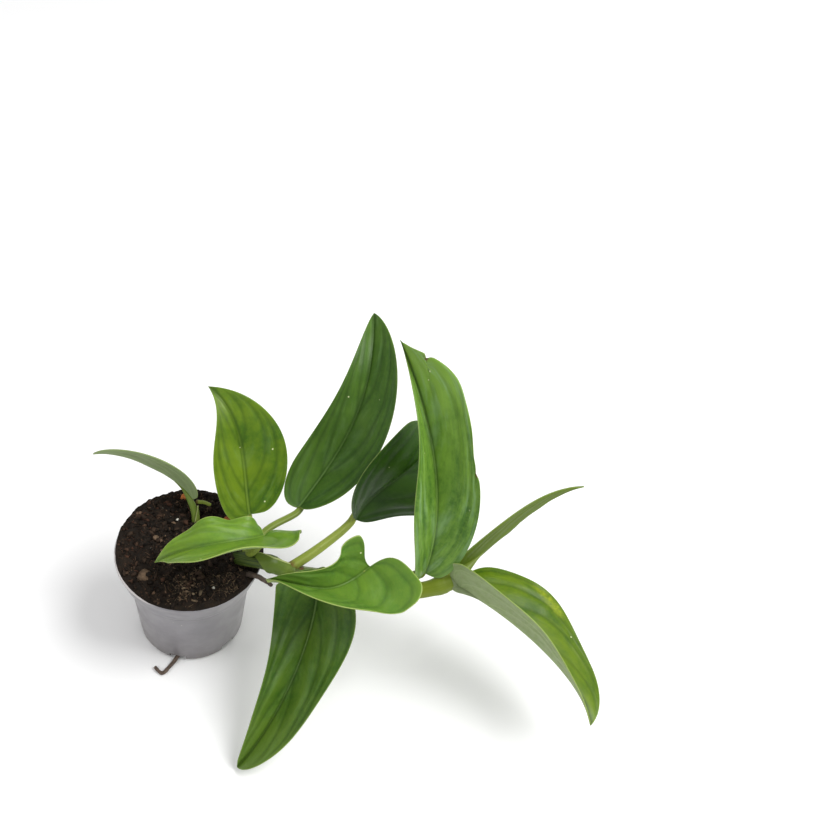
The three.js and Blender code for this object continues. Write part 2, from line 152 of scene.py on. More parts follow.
# Place, height over the soil, size, tone and stretch of the largest pieces
LANDMARKS = (
    ((-14, 0, 0.7), 1.2, 0.58, (1, 1, 0.6)),
    ((-8.5, 23.5, 0.8), 1.7, 0.8, (1.5, 0.8, 0.4)),
    ((11.5, 16.5, 0.8), 1.8, 0.8, (1.5, 0.7, 0.4)),
    ((-13, -18, 0.5), 3, 0.585, (1.2, 0.8, 0.6)),
    ((27, 7, 0.6), 1.3, 0.1, (1.2, 0.8, 0.7)),
    ((-8, 10, 0.7), 0.6, 1.0, (1, 1, 0.8)),
    ((14.5, -17, 0.7), 0.6, 1.0, (1, 1, 0.8)),
    ((-24.5, -20.5, 0.3), 1.3, 0.35, (1.2, 0.6, 0.5)),
)
FIBRES = 450
FIBRE_LENGTH = (0.8, 3.6)
FIBRE_RADIUS = (0.05, 0.11)
FIBRE_CURL = 0.22
FIBRE_STEPS = 5
FIBRE_SIDES = 4
FIBRE_RISE = 0.3
FIBRE_INSET = (1.5, 0.3)
LEFT_FIBRE_TONES = (0.33, 0.4, 0.5, 0.56)
RIGHT_FIBRE_TONES = (0.3, 0.35, 0.56, 0.6)
# Tangles of pale fibres, each with its place and reach, and the share of all fibres that lie in them
STRAW = ((4, -19.5, 3.2), (20, -13.5, 2.4))
IN_STRAW = 0.3
STRAW_TONES = (0.56, 0.6, 0.65)

# Leaf blades. A blade is a net of ribs from the midrib to the margin, with the same steps on each.
BLADE_THICKNESS = 0.7
EDGE_THICKNESS = 0.4
EDGE_REACH = 4
KEEL_HEIGHT = 0.35
KEEL_REACH = 1.2
CHANNEL_DEPTH = 0.28
CHANNEL_REACH = 0.7
UNDER_RELIEF = 0.8
VEINS = 3
VEIN_SWEEP = 0.72
FINE_VEINS = 3
MOST_VEIN_GAP = 40
GROOVE = 0.2
GROOVE_REACH = 1.3
FINE_GROOVE = 0.02
FINE_GROOVE_REACH = 0.6
QUILT = 0.2
SWELLS = 5
SWELL_RATE = (0.25, 0.6)
SWELL_HEIGHT = (0.06, 0.15)
RIB_RUN = 0.02
RIB_BOW = 0.42
BASE_CROWDING = 1.7
TIP_CROWDING = 1.25
STEP_CROWDING = 0.35
RIBS = 120
STEPS = 28
BLADE_WELD = 0.004
WAVE_FADE = 4
ARCH_RUN = 10
# How far the margin's handles reach back and forwards from the widest place, as shares of the way
HANDLES = (0.55, 0.45)

# base, bend and tip are the midrib's control points, and face is where the upper side looks at the base
# and at the tip. Pairs are right and left half, seen from above with the tip up: width in mm, widest as a
# share of the length, lobe as mm behind the base, shoulder and taper as shares of the width, fold in
# degrees upwards from flat, arch in degrees per ARCH_RUN mm and wave in mm. sinus is the margin beside the
# stalk, as control points in shares of the lobe and of the width. sweep shifts what lies behind the base
# sideways, by a slope less a bend. tip_run is how far the last control point lies on the way to the tip.
SINUS = ((0.75, 0.03), (1, 0.16))
LEVEL = dict(
    arch=(-7, -7), wave=(0, 0), wave_phase=(0, 0), waves=1.5, sinus=(SINUS, SINUS), sweep=(0, 0),
    tip_run=(0.7, 0.7))
LEAVES = (
    dict(LEVEL, base=(-3, 17, 62), bend=((-12, 24, 71), (-34, 19, 83)), tip=(-46, 22, 73),
         face=((-0.2, 0.8, 0.6), (-0.2, 0.9, 0.4)), width=(9, 9.5), widest=(0.32, 0.31), lobe=(0, 0),
         shoulder=(0.05, 0.3), taper=(0.2, 0.25), fold=(15, 15), fold_tip=(8, 12)),
    dict(LEVEL, base=(21, 15, 62), bend=((15, 25, 77), (15, 34, 100)), tip=(-3, 40, 106),
         face=((0.4, -0.6, 0.65), (0.2, -0.65, 0.75)), width=(18, 13.5), widest=(0.41, 0.36),
         lobe=(0.5, 0.5), shoulder=(0.3, 0.55), taper=(0.37, 0.28), fold=(9, 19), fold_tip=(12, 25)),
    dict(LEVEL, base=(31, -3, 74), bend=((27, -12.7, 82), (7.8, -20.2, 85.7)), tip=(-9, -17, 62),
         face=((0.25, -0.55, 0.8), (0.35, -0.7, 0.6)), width=(10.3, 17.2), widest=(0.33, 0.4),
         lobe=(1, 14.6), shoulder=(0.24, 0.42), sinus=(((0.6, 0.02), (1, 0.3)), ((0.4, 0), (0.6, 0.1))),
         sweep=(0.42, 0.03), taper=(0.3, 0.14), tip_run=(0.7, 0.46), fold=(-17, 67), fold_tip=(-20, 90),
         arch=(-14, 10), wave=(3, -1.2), wave_phase=(0.09, 0.05), waves=2.5),
    dict(LEVEL, base=(40, 24, 62), bend=((53, 51, 74), (64, 41, 114)), tip=(55, 85, 121),
         face=((-0.3, -0.6, 0.75), (-0.1, -0.7, 0.7)), width=(19, 13.5), widest=(0.43, 0.19),
         lobe=(0.5, 2), shoulder=(0.1, 0.3), taper=(0.3, 0.33), tip_run=(0.9, 0.9), fold=(28, 21),
         fold_tip=(34, 24)),
    dict(LEVEL, base=(64, 24, 60), bend=((69, 38, 71), (87.7, 27.2, 91.7)), tip=(91, 60, 88),
         face=((0.55, -0.75, 0.33), (-0.15, -0.7, 0.7)), width=(20.2, 18.8), widest=(0.48, 0.55),
         lobe=(-0.2, -0.2), shoulder=(0.08, 0.08), taper=(0.2, 0.6), fold=(1, 37), fold_tip=(33, 37)),
    dict(LEVEL, base=(96, 6, 57.4), bend=((100, 13.5, 85.8), (91, 32.8, 113.8)), tip=(68, 67, 126),
         face=((0.4, -0.7, 0.6), (-0.05, -0.65, 0.75)), width=(20.6, 14.6), widest=(0.71, 0.24),
         lobe=(0.3, 0.9), shoulder=(0.22, 0.43), taper=(0.16, 0.14), fold=(31, 44), fold_tip=(62, 67),
         wave=(-2, -2), wave_phase=(0, -0.25)),
    dict(LEVEL, base=(53, -1.2, 53.5), bend=((58.5, -8.8, 34), (52.4, -50.7, 23.2)), tip=(37, -65, 2.2),
         face=((-0.1, -0.8, 0.6), (-0.1, -0.75, 0.65)), width=(17.2, 20.7), widest=(0.06, 0.26),
         lobe=(3.1, 4), shoulder=(0.45, 0.32), taper=(0.3, 0.47), tip_run=(0.95, 0.95), fold=(32, 32),
         fold_tip=(44, 51), wave=(-1.8, -2), wave_phase=(0, -0.1)),
    dict(LEVEL, base=(74, -2, 66), bend=((60, -14.8, 54.3), (56, -23, 78)), tip=(35, -16, 64),
         face=((-0.2, -0.45, 0.87), (0.13, 0.09, 1)), width=(16.5, 26.3), widest=(0.01, -0.12),
         lobe=(5.6, 12.5), shoulder=(0.85, 0.76), sinus=(((-0.3, 0.3), (1, 0.5)), SINUS),
         taper=(0.19, 0.14), fold=(51, 19), fold_tip=(78, 58), arch=(0, 0)),
    dict(LEVEL, base=(111, 14, 56), bend=((126, 29, 61), (141, 55, 65)), tip=(158, 61, 67),
         face=((-0.63, 0.76, 0.13), (-0.64, 0.73, 0.25)), width=(10.7, 9.9), widest=(0.32, 0.33),
         lobe=(1.2, 1), shoulder=(0.53, 0.5), taper=(0.28, 0.2), fold=(14, 13), fold_tip=(10, 10)),
    dict(LEVEL, base=(112, 4, 56), bend=((128.7, -4.3, 59.7), (168, -16, 41)), tip=(172, -36, 37),
         face=((0.5, 0.6, 0.6), (0.3, 0.6, 0.75)), width=(15.5, 22.4), widest=(0.24, 0.37), lobe=(6, 1.2),
         shoulder=(0.54, 0.31), sinus=(((0.9, 0), (1, 0.06)), SINUS), taper=(0.14, 0.67), fold=(44, 60),
         fold_tip=(19, 33), wave=(-0.8, -2), wave_phase=(0, 0.13)),
)
# Bites out of a margin, by the leaf's number from 1: half, share along the margin, half width as a share, and
# depth in mm. Those that are narrower than TORN leave a brown scar.
BITES = {6: ((0, 0.773, 0.011, 3.2), (0, 0.43, 0.05, 1.5), (0, 0.39, 0.012, 0.9))}
TORN = 0.03
SCAR_CROWDING = 14

# Looks of the leaves in the same order. deep and fresh are the greens of the upper side, and under is the
# under side. The rest are shares: how much fresh green shows in patches, in streaks along the veins, towards
# the tip, where it is partly the tip's own fresher green and partly painted light, on the left half, where it
# is painted light that makes the half facing the light lighter, and as a fine mottle, how dark the side veins
# are, how much painted sheen, a painted highlight, lies in long pale streaks, and how pale the margin and the
# midrib are.
LOOK = dict(
    patches=0.5, streaks=0.2, tip=0.2, left=0.0, veins=0.5, painted_sheen=0.12, mottle=0.34, margin=0.3, rib=0.45)
LEAF_LOOKS = (
    dict(LOOK, deep=(0.1, 0.15, 0.045), fresh=(0.16, 0.22, 0.075), under=(0.2, 0.26, 0.12)),
    dict(LOOK, deep=(0.04, 0.105, 0.006), fresh=(0.13, 0.21, 0.009), under=(0.17, 0.23, 0.08), patches=0.6,
         left=0.3),
    dict(LOOK, deep=(0.085, 0.185, 0.02), fresh=(0.17, 0.29, 0.022), under=(0.18, 0.25, 0.09), tip=0.7,
         veins=0.3, margin=0.8, rib=0.2),
    dict(LOOK, deep=(0.024, 0.072, 0.006), fresh=(0.065, 0.14, 0.013), under=(0.14, 0.2, 0.07), left=0.35),
    dict(LOOK, deep=(0.013, 0.048, 0.002), fresh=(0.032, 0.085, 0.005), under=(0.13, 0.18, 0.07),
         veins=0.4, painted_sheen=0),
    dict(LOOK, deep=(0.038, 0.108, 0.011), fresh=(0.165, 0.3, 0.038), under=(0.18, 0.24, 0.09), painted_sheen=0.5,
         patches=0.3, streaks=0.4, left=0.02, tip=1, veins=0.15, mottle=0.35),
    dict(LOOK, deep=(0.028, 0.082, 0.007), fresh=(0.085, 0.155, 0.016), under=(0.14, 0.2, 0.07), tip=0.9),
    dict(LOOK, deep=(0.07, 0.165, 0.02), fresh=(0.14, 0.25, 0.028), under=(0.18, 0.24, 0.09), tip=0.1,
         veins=0.4, margin=0.85, rib=0.1),
    dict(LOOK, deep=(0.06, 0.11, 0.012), fresh=(0.09, 0.15, 0.018), under=(0.085, 0.13, 0.009), painted_sheen=0),
    dict(LOOK, deep=(0.04, 0.1, 0.003), fresh=(0.115, 0.185, 0.005), under=(0.235, 0.29, 0.145),
         streaks=0.4, veins=0.4, painted_sheen=0, margin=0.6),
)
# Pale green of the painted sheen: a painted highlight in long streaks on the upper side
PAINTED_SHEEN_COLOUR = (0.22, 0.36, 0.16)
# Darkness of the vein lines, and of the painted shade in the fold beside the midrib
VEIN_DARKNESS = 0.5
VEIN_WOBBLE = 0.3
LEAF_SPECULAR = 0.2
MARGIN_COLOUR = (0.3, 0.38, 0.1)
SPECK_COLOUR = (0.7, 0.72, 0.42)
SCAR_COLOUR = (0.1, 0.06, 0.02)
# Yellow blotch, by the leaf's number from 1: its half, its place along and across, and its reach both ways
BLOTCHES = {10: dict(half=1, along=0.42, across=0.8, reach=(0.14, 0.2))}
BLOTCH_COLOUR = (0.23, 0.29, 0.012)

# Tubes. One that starts steeper than STEEP takes its upper side from +Y instead of +Z.
STEEP = 0.9
END_ROUND = 0.5
THIN_SIDES = 20

# Trunk, along its axis, with the radius at both ends, and nodes at shares of its length. Each node is a
# swelling and a ring just beyond it, as height, distance and half width. A flute is a depth, a count and a
# twist along the trunk.
TRUNK_POINTS = (
    (17, 4, 43), (20, 0, 51), (26, -3, 56), (34, -3, 56.5), (42, -2, 52), (54, 3.5, 44.5),
    (67, 3.5, 43.5), (82, 1, 46.5), (96, 2.5, 50), (103, 4.5, 52.6), (108, 6.5, 54.8),
)
TRUNK_RADIUS = (2.8, 3.4)
TRUNK_RINGS = 260
TRUNK_SIDES = 40
TRUNK_FLUTES = ((0.07, 3, 9), (0.05, 7, -14))
NODE_PLACES = (0.24, 0.36, 0.49, 0.64, 0.78, 0.95)
NODE_RELIEF = ((0.5, 0, 0.025), (0.16, 0.018, 0.004))

# A stalk, from its foot on the trunk to its leaf, which is given as a place in LEAVES counted from 0. It runs
# on under the blade and thins out as its midrib. A square one meets the blade end on instead.
# drop is how far it hangs below the blade as a share of its radius, and tone goes from green to yellow. Its
# relief is an edge on both sides and a channel between them, as height, angle from above and half width.
MIDRIB_RUN = 11
MIDRIB_THINNING = 0.75
MIDRIB_STOPS = (-0.2, 0.2, 0.6, 1)
STALK_SINK = 0.25
STALK_RINGS = 70
STALK_SIDES = 36
CHANNEL_RUN = 1.1
SQUARE_INSET = 3
STALK_RELIEF = ((0.08, 0.7, 0.25), (-0.12, 0, 0.42))
# Kinds of piece that the stem's material tells apart
TRUNK, PLAIN_STALK, SHEATH, PALE_STALK = 0, 1, 1.25, 2
STALK = dict(square=False, drop=1, tone=0.6, kind=PLAIN_STALK)
STALKS = (
    dict(STALK, leaf=1, foot=(21, 0, 50), via=(23, 7, 56), radius=(1.6, 1.3)),
    dict(STALK, leaf=2, foot=(22, 0, 51), via=(28, -3, 64), radius=(1.6, 1.3)),
    dict(STALK, leaf=3, foot=(22, -1, 52), via=(29, 11, 58.5), radius=(1.5, 1.4), tone=0.4),
    dict(STALK, leaf=4, foot=(41, -2, 53), via=(51, 7, 57.5), radius=(2.2, 1.5), tone=1.0),
    dict(STALK, leaf=5, foot=(87, 1, 47.5), via=(92, 7, 53), radius=(2, 1.4)),
    dict(STALK, leaf=6, foot=(57, 3.5, 44), via=(55, 4, 48), radius=(2, 1.5), square=True),
    dict(STALK, leaf=7, foot=(73, 3, 45), via=(77, 3, 57), radius=(2, 1.5), square=True),
    dict(STALK, leaf=8, foot=(104, 5, 54), via=(106.4, 9.8, 54.8), radius=(2.6, 1.5), tone=0.35),
    dict(STALK, leaf=9, foot=(104, 5.5, 54), via=(108, 6, 55.8), radius=(2, 1.3), drop=0.3,
         kind=PALE_STALK),
)
LEFT_SHOOT = dict(STALK, leaf=0, foot=(-1, 9, 44), via=(-1, 12, 56), radius=(1.6, 1.25), tone=0.2)
STUB = dict(points=((-2, 17.4, 60), (0.7, 18.6, 59), (3.4, 19.2, 57.4)), radius=(0.85, 0.7))
STUB_RINGS = 30
# Sheaths: where on the stem each starts and ends, how far it wraps round, and its turn from above at both.
# Each starts at a free tip, and SHEATH_HUG is what is left of its lift at the other end.
TRUNK_SHEATH = dict(start=0.175, end=0.335, wrap=85, turn=(-20, 58), tone=0.15)
SHOOT_SHEATH = dict(start=0.57, end=0.36, wrap=75, turn=(60, 60), tone=0.4)
SHEATH_THICKNESS = 0.25
SHEATH_LIFT = 0.3
SHEATH_ROWS = 26
SHEATH_COLUMNS = 15
SHEATH_POINT = 0.7
SHEATH_HUG = 0.4
SHEATH_PALENESS = 0.8
PALE_SIDE = -0.8
PALE_TIP = 0.12
STREAK_COLOUR = (0.26, 0.32, 0.05)
EDGE_COLOUR = (0.42, 0.46, 0.2)
BARK_COLOUR = (0.16, 0.09, 0.035)
NODE_BROWN = (0.13, 0.06, 0.025)
PALE_STALK_COLOUR = (0.2, 0.25, 0.12)

# Roots. Knots are a depth and two rates along the root, and ridges a depth, a count and a twist.
RIM_ROOT = dict(
    points=((24, -6, 47), (26.5, -7, 51.6), (30, -8.5, 53.5), (33.5, -8.5, 51.6), (36, -8, 48.5)),
    radius=(1.3, 0.8), tone=0.35)
DRAIN_ROOT = dict(
    points=((0, -17, 2.8), (0, -21, 2), (-2, -26, 1.05), (-4, -30, 1.05), (-6, -29.5, 1.05),
            (-8, -28, 1.05)),
    radius=(0.9, 0.7), tone=0.9)
ROOT_RINGS = 90
ROOT_KNOTS = (0.12, 31, 13)
ROOT_RIDGES = (0.05, 5, 20)

# Lights: name, place in metres, width in metres and power in watts
LIGHTS = (("key", (0.66, 0.06, 1.05), 0.75, 13.5), ("fill", (-0.4, -0.5, 0.8), 0.9, 2.5))
LIT_PLACE = (0.06, 0, 0.05)
SKY_STRENGTH = 0.6
FLOOR_REACH = 3000


def mix(start, end, share):
    return start + (end - start) * share


def unit(vectors):
    return vectors / np.linalg.norm(vectors, axis=-1, keepdims=True)


def smooth_step(value, low, high):
    share = np.clip((value - low) / (high - low), 0, 1)
    return share * share * (3 - 2 * share)


def circle(count):
    return np.linspace(0, 2 * math.pi, count, endpoint=False)


def polar(radius, turn):
    return radius * math.cos(turn), radius * math.sin(turn)


# Curves

def bezier(points, t):
    points = np.array(points, float)
    t = np.asarray(t)[:, None]
    s = 1 - t
    return s ** 3 * points[0] + 3 * s * s * t * points[1] + 3 * s * t * t * points[2] + t ** 3 * points[3]


def bezier_direction(points, t):
    t = np.asarray(t)[:, None]
    s = 1 - t
    first, second, third = np.diff(np.array(points, float), axis=0)
    return unit(s * s * first + 2 * s * t * second + t * t * third)


class ArcLength:
    """Finds points on chained Bezier curves by their share of the whole length."""

    def __init__(self, curves, samples=300):
        self.curves = curves
        t = np.linspace(0, 1, samples)
        self.t = np.concatenate([t + i for i in range(len(curves))])
        points = np.concatenate([bezier(curve, t) for curve in curves])
        steps = np.linalg.norm(np.diff(points, axis=0), axis=1)
        self.reach = np.concatenate([[0], np.cumsum(steps)])
        self.length = self.reach[-1]

    def parameter(self, share):
        return np.interp(np.asarray(share) * self.length, self.reach, self.t)

    def points(self, share):
        t = self.parameter(share)
        number = np.clip(t.astype(int), 0, len(self.curves) - 1)
        found = np.zeros((len(t), len(self.curves[0][0])))
        for i, curve in enumerate(self.curves):
            here = number == i
            found[here] = bezier(curve, t[here] - i)
        return found

    def directions(self, share):
        """Directions along a single curve."""
        return bezier_direction(self.curves[0], self.parameter(share))


def centripetal(points, samples):
    """A centripetal Catmull-Rom curve through the points, sampled evenly by its length."""
    points = [np.array(point, float) for point in points]
    chain = [2 * points[0] - points[1]] + points + [2 * points[-1] - points[-2]]
    curves = []
    for p0, p1, p2, p3 in zip(chain, chain[1:], chain[2:], chain[3:]):
        d0, d1, d2 = (math.sqrt(np.linalg.norm(b - a)) for a, b in ((p0, p1), (p1, p2), (p2, p3)))
        leave = ((p1 - p0) / d0 - (p2 - p0) / (d0 + d1) + (p2 - p1) / d1) * d1
        arrive = ((p2 - p1) / d1 - (p3 - p1) / (d1 + d2) + (p3 - p2) / d2) * d1
        curves.append((p1, p1 + leave / 3, p2 - arrive / 3, p2))
    return ArcLength(curves).points(np.linspace(0, 1, samples))


# Meshes

def add_object(name, data):
    thing = bpy.data.objects.new(name, data)
    bpy.context.scene.collection.objects.link(thing)
    return thing


def dress(piece, material, node):
    piece.data.materials.append(material)
    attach(piece, "root")
    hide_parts(node)


class Net:
    """Collects grids of points with their attributes and joins them into one mesh."""

    def __init__(self):
        self.vertices = []
        self.faces = []
        self.values = {}
        self.count = 0

    def add_points(self, points, **values):
        points = np.asarray(points, float).reshape(-1, 3)
        start = self.count
        self.vertices.append(points)
        for key, value in values.items():
            full = np.broadcast_to(np.asarray(value, float).ravel(), (len(points),))
            self.values.setdefault(key, []).append(full)
        self.count += len(points)
        return start

    def add_grid(self, start, rows, columns, flip=False, closed=False):
        for row in range(rows - 1):
            for column in range(columns if closed else columns - 1):
                a = start + row * columns + column
                b = start + row * columns + (column + 1) % columns
                self.add_face((a, b, b + columns, a + columns), flip)

    def add_band(self, first, second, step, count, flip=False):
        """Joins two rows of points of the net, in which each point lies a step after the one before."""
        for i in range(count):
            a = first + i * step
            b = second + i * step
            self.add_face((a, b, b + step, a + step), flip)

    def add_face(self, corners, flip=False):
        self.faces.append(corners[::-1] if flip else corners)

    def piece(self, name):
        """Makes a smooth mesh object, in metres."""
        mesh = bpy.data.meshes.new(name)
        mesh.from_pydata((np.concatenate(self.vertices) * MM).tolist(), [], self.faces)
        for key, parts in self.values.items():
            layer = mesh.attributes.new(key, "FLOAT", "POINT")
            layer.data.foreach_set("value", np.concatenate(parts).astype(np.float32))
        mesh.validate()
        mesh.update()
        mesh.polygons.foreach_set("use_smooth", [True] * len(mesh.polygons))
        return add_object(name, mesh)


def weld(piece, distance):
    """Joins vertices that share a place, such as the two halves of a blade at the midrib."""
    modifier = piece.modifiers.new("weld", "WELD")
    modifier.merge_threshold = distance * MM
    apply_modifiers(piece)


def apply_modifiers(piece):
    bpy.context.view_layer.update()
    evaluated = piece.evaluated_get(bpy.context.evaluated_depsgraph_get())
    old = piece.data
    mesh = bpy.data.meshes.new_from_object(evaluated)
    piece.modifiers.clear()
    piece.data = mesh
    bpy.data.meshes.remove(old)


# Leaves

def margin_curve(leaf, length, half):
    """The margin of a flat half blade: from the stalk round its lobe, out to its widest, and to the tip."""
    width, lobe, widest, shoulder, taper, tip_run = (
        leaf[key][half] for key in ("width", "lobe", "widest", "shoulder", "taper", "tip_run"))
    backwards, forwards = HANDLES
    widest = widest * length
    ahead = length - widest
    back = (-lobe, shoulder * width)
    front = (widest, width)
    sinus = [(-run * lobe, out * width) for run, out in leaf["sinus"][half]]
    return ArcLength([
        [(0, 0), *sinus, back],
        [back, (-lobe, 0.5 * (shoulder + 1) * width), (widest - backwards * (widest + lobe), width), front],
        [front, (widest + forwards * ahead, width), (widest + tip_run * ahead, taper * width), (length, 0)],
    ])


def midrib(leaf):
    return ArcLength([[leaf["base"], *leaf["bend"], leaf["tip"]]])


def midrib_frame(leaf, curve, x):
    """Place on the midrib's line at x mm from the base, its directions up and out there, and its share."""
    share = np.clip(x / curve.length, 0, 1)
    along = curve.directions(share)
    place = curve.points(share) + along * np.minimum(x, 0)[:, None]
    first, last = (unit(np.array(face, float)) for face in leaf["face"])
    face = mix(first, last, share[:, None])
    up = unit(face - along * (face * along).sum(1, keepdims=True))
    return place, up, np.cross(along, up), share


def fold_at(leaf, half, share):
    return np.radians(mix(leaf["fold"][half], leaf["fold_tip"][half], share))


def keel_vectors(leaf, up, out, share):
    """From the midrib's upper edge to where the undersides of both halves meet, for 1 mm of thickness."""
    right, left = (fold_at(leaf, half, share)[:, None] for half in (0, 1))
    keel = -up * (np.cos(right) + np.cos(left)) + out * (np.sin(right) - np.sin(left))
    return keel / (1 + np.cos(right + left))


def blade_points(leaf, curve, half, x, y):
    """Bends flat points round the folded and arched blade. Also gives the way its upper side looks."""
    side = 1 if half == 0 else -1
    place, up, out, share = midrib_frame(leaf, curve, x)
    behind = -np.minimum(x, 0)[:, None]
    slope, bend_back = leaf["sweep"]
    place = place + out * (slope * behind - bend_back * behind ** 2)
    fold = fold_at(leaf, half, share)
    bend = math.radians(leaf["arch"][half]) / ARCH_RUN or TINY
    turn = fold + bend * y
    across = (np.sin(turn) - np.sin(fold)) / bend
    rise = (np.cos(fold) - np.cos(turn)) / bend
    outwards = up * np.cos(turn)[:, None] - out * (side * np.sin(turn))[:, None]
    cycle = leaf["waves"] * x / curve.length + leaf["wave_phase"][half]
    swing = (y / leaf["width"][half]) ** 2 * np.minimum(1, WAVE_FADE * (1 - share))
    wave = leaf["wave"][half] * np.sin(2 * math.pi * cycle) * swing
    place = place + out * (side * across)[:, None] + up * rise[:, None] + outwards * wave[:, None]
    return place, outwards, keel_vectors(leaf, up, out, share)


def flat_ribs(leaf, length, half):
    """The net's points on the flat blade, as arrays of ribs by steps, from the midrib to the margin."""
    share = np.linspace(0, 1, RIBS + 1)
    swell = np.sin(math.pi * share)
    end = margin_curve(leaf, length, half).points(1 - (1 - share) ** TIP_CROWDING)
    start = np.stack([length * share ** BASE_CROWDING, np.zeros_like(share)], axis=1)
    pull = 0.5 * (start + end)
    pull[:, 0] += RIB_RUN * length * swell * (1 - share)
    pull[:, 1] += RIB_BOW * leaf["width"][half] * swell * np.sqrt(1 - share)
    across = np.linspace(0, 1, STEPS + 1)
    across = mix(across, across ** 2, STEP_CROWDING)[None, :, None]
    points = ((1 - across) ** 2 * start[:, None] + 2 * (1 - across) * across * pull[:, None]
              + across ** 2 * end[:, None])
    points[:, :, 1] = np.maximum(points[:, :, 1], 0)
    share = np.broadcast_to(share[:, None], points.shape[:2])
    across = np.broadcast_to(across[:, :, 0], points.shape[:2])
    return points, share, across


def bite(number, half, points, share, across):
    """Pulls the margin inwards at the leaf's bites, and gives how near each point is to a torn one."""
    scar = np.zeros(share.shape)
    for bitten, place, reach, depth in BITES.get(number, ()):
        if bitten == half:
            near = np.exp(-((share - place) / reach) ** 2)
            points[..., 1] = np.maximum(points[..., 1] - depth * near * across ** 3, 0)
            scar = np.maximum(scar, near * across ** SCAR_CROWDING * (reach < TORN))
    return scar


def side_veins(points, share, across):
    """Numbers the side veins, which sweep forwards along the margin, and gives the mm from one to the next.

    A point lies on a vein where the number is whole. Veins below 0 start at the stalk.
    """
    origin = (1 - share) / (1 - VEIN_SWEEP * across)
    number = VEINS * np.where(origin < 1, 1 - origin, 0.5 * np.maximum(origin, 1) ** -2 - 0.5)
    along = np.gradient(points, axis=0)
    outwards = np.gradient(points, axis=1)
    area = np.abs(along[..., 0] * outwards[..., 1] - along[..., 1] * outwards[..., 0])
    turn = (outwards * np.gradient(number, axis=0)[..., None]
            - along * np.gradient(number, axis=1)[..., None])
    return number, area / np.maximum(np.linalg.norm(turn, axis=2), TINY)


def off_vein(number, spacing, parts=1):
    """Distance in mm from the nearest vein, or from the nearest line that splits the gaps in parts."""
    return np.abs(parts * number - np.round(parts * number)) / parts * spacing


def surface_waves(number, half, points):
    """Slow unevenness of a grown blade, different on each leaf."""
    waves = np.zeros(points.shape[:2])
    chance = random.Random(SEED + 10 * number + half)
    for _ in range(SWELLS):
        turn = chance.uniform(0, 2 * math.pi)
        rate = chance.uniform(*SWELL_RATE)
        start = chance.uniform(0, 2 * math.pi)
        height = chance.uniform(*SWELL_HEIGHT)
        x, y = polar(rate, turn)
        waves += height * np.sin(x * points[..., 0] + y * points[..., 1] + start)
    return waves


def relief(number, half, points, share, across, vein, spacing):
    """Height of the upper side over a plain blade: quilted between grooves at the veins, and uneven."""
    free = np.maximum(np.sin(math.pi * across) * np.sin(math.pi * share), 0)
    groove = GROOVE * np.sqrt(free) * np.exp(-(off_vein(vein, spacing) / GROOVE_REACH) ** 2)
    groove += FINE_GROOVE * free * np.exp(-(off_vein(vein, spacing, FINE_VEINS) / FINE_GROOVE_REACH) ** 2)
    return QUILT * free * np.sin(math.pi * vein) ** 2 + surface_waves(number, half, points) * free - groove


def make_leaf(number, leaf, material):
    curve = midrib(leaf)
    net = Net()
    columns = STEPS + 1
    for half in (0, 1):
        points, share, across = flat_ribs(leaf, curve.length, half)
        scar = bite(number, half, points, share, across)
        vein, spacing = side_veins(points, share, across)
        margin = np.linalg.norm(points - points[:, -1:], axis=2)
        x, y = points[..., 0], points[..., 1]
        place, outwards, keel = blade_points(leaf, curve, half, x.ravel(), y.ravel())
        lift, channel, thickness, ridge, near_rib = (values.reshape(-1, 1) for values in (
            relief(number, half, points, share, across, vein, spacing),
            CHANNEL_DEPTH * np.exp(-(y / CHANNEL_REACH) ** 2) * np.sin(math.pi * share) ** 0.5,
            mix(EDGE_THICKNESS, BLADE_THICKNESS, smooth_step(margin, 0, EDGE_REACH)),
            KEEL_HEIGHT * (1 - share) ** 0.5,
            np.exp(-(y / KEEL_REACH) ** 2)))
        upper = place + outwards * lift + unit(keel) * channel
        below = mix(-outwards * thickness, keel * BLADE_THICKNESS + unit(keel) * ridge, near_rib)
        lower = place + outwards * lift * UNDER_RELIEF + below
        values = dict(
            vein=vein, vein_gap=np.minimum(spacing, MOST_VEIN_GAP), margin=margin, midrib=y,
            along=x / curve.length, across=across, left=half, scar=scar)
        left = half == 1
        top = net.add_points(upper, under=0, **values)
        bottom = net.add_points(lower, under=1, **values)
        net.add_grid(top, RIBS + 1, columns, left)
        net.add_grid(bottom, RIBS + 1, columns, not left)
        net.add_band(top + STEPS, bottom + STEPS, columns, RIBS, left)
    piece = net.piece(f"blade_{number}")
    weld(piece, BLADE_WELD)
    dress(piece, material, f"leaf_{number}")


# Stems and roots

def tube_frame(points, up=None):
    """Directions along and across a tube at each point. Without up, they turn as little as possible."""
    along = unit(np.gradient(points, axis=0))
    if up is not None:
        first = unit(np.asarray(up) - along * (along @ np.asarray(up))[:, None])
        return along, first, np.cross(along, first)
    first = np.zeros_like(points)
    current = np.array((0, 1.0, 0) if abs(along[0][2]) > STEEP else (0, 0, 1.0))
    for i, direction in enumerate(along):
        current = unit(current - direction * np.dot(current, direction))
        first[i] = current
    return along, first, np.cross(along, first)


def spokes(first, second, angle):
    return first[:, None] * np.cos(angle)[..., None] + second[:, None] * np.sin(angle)[..., None]


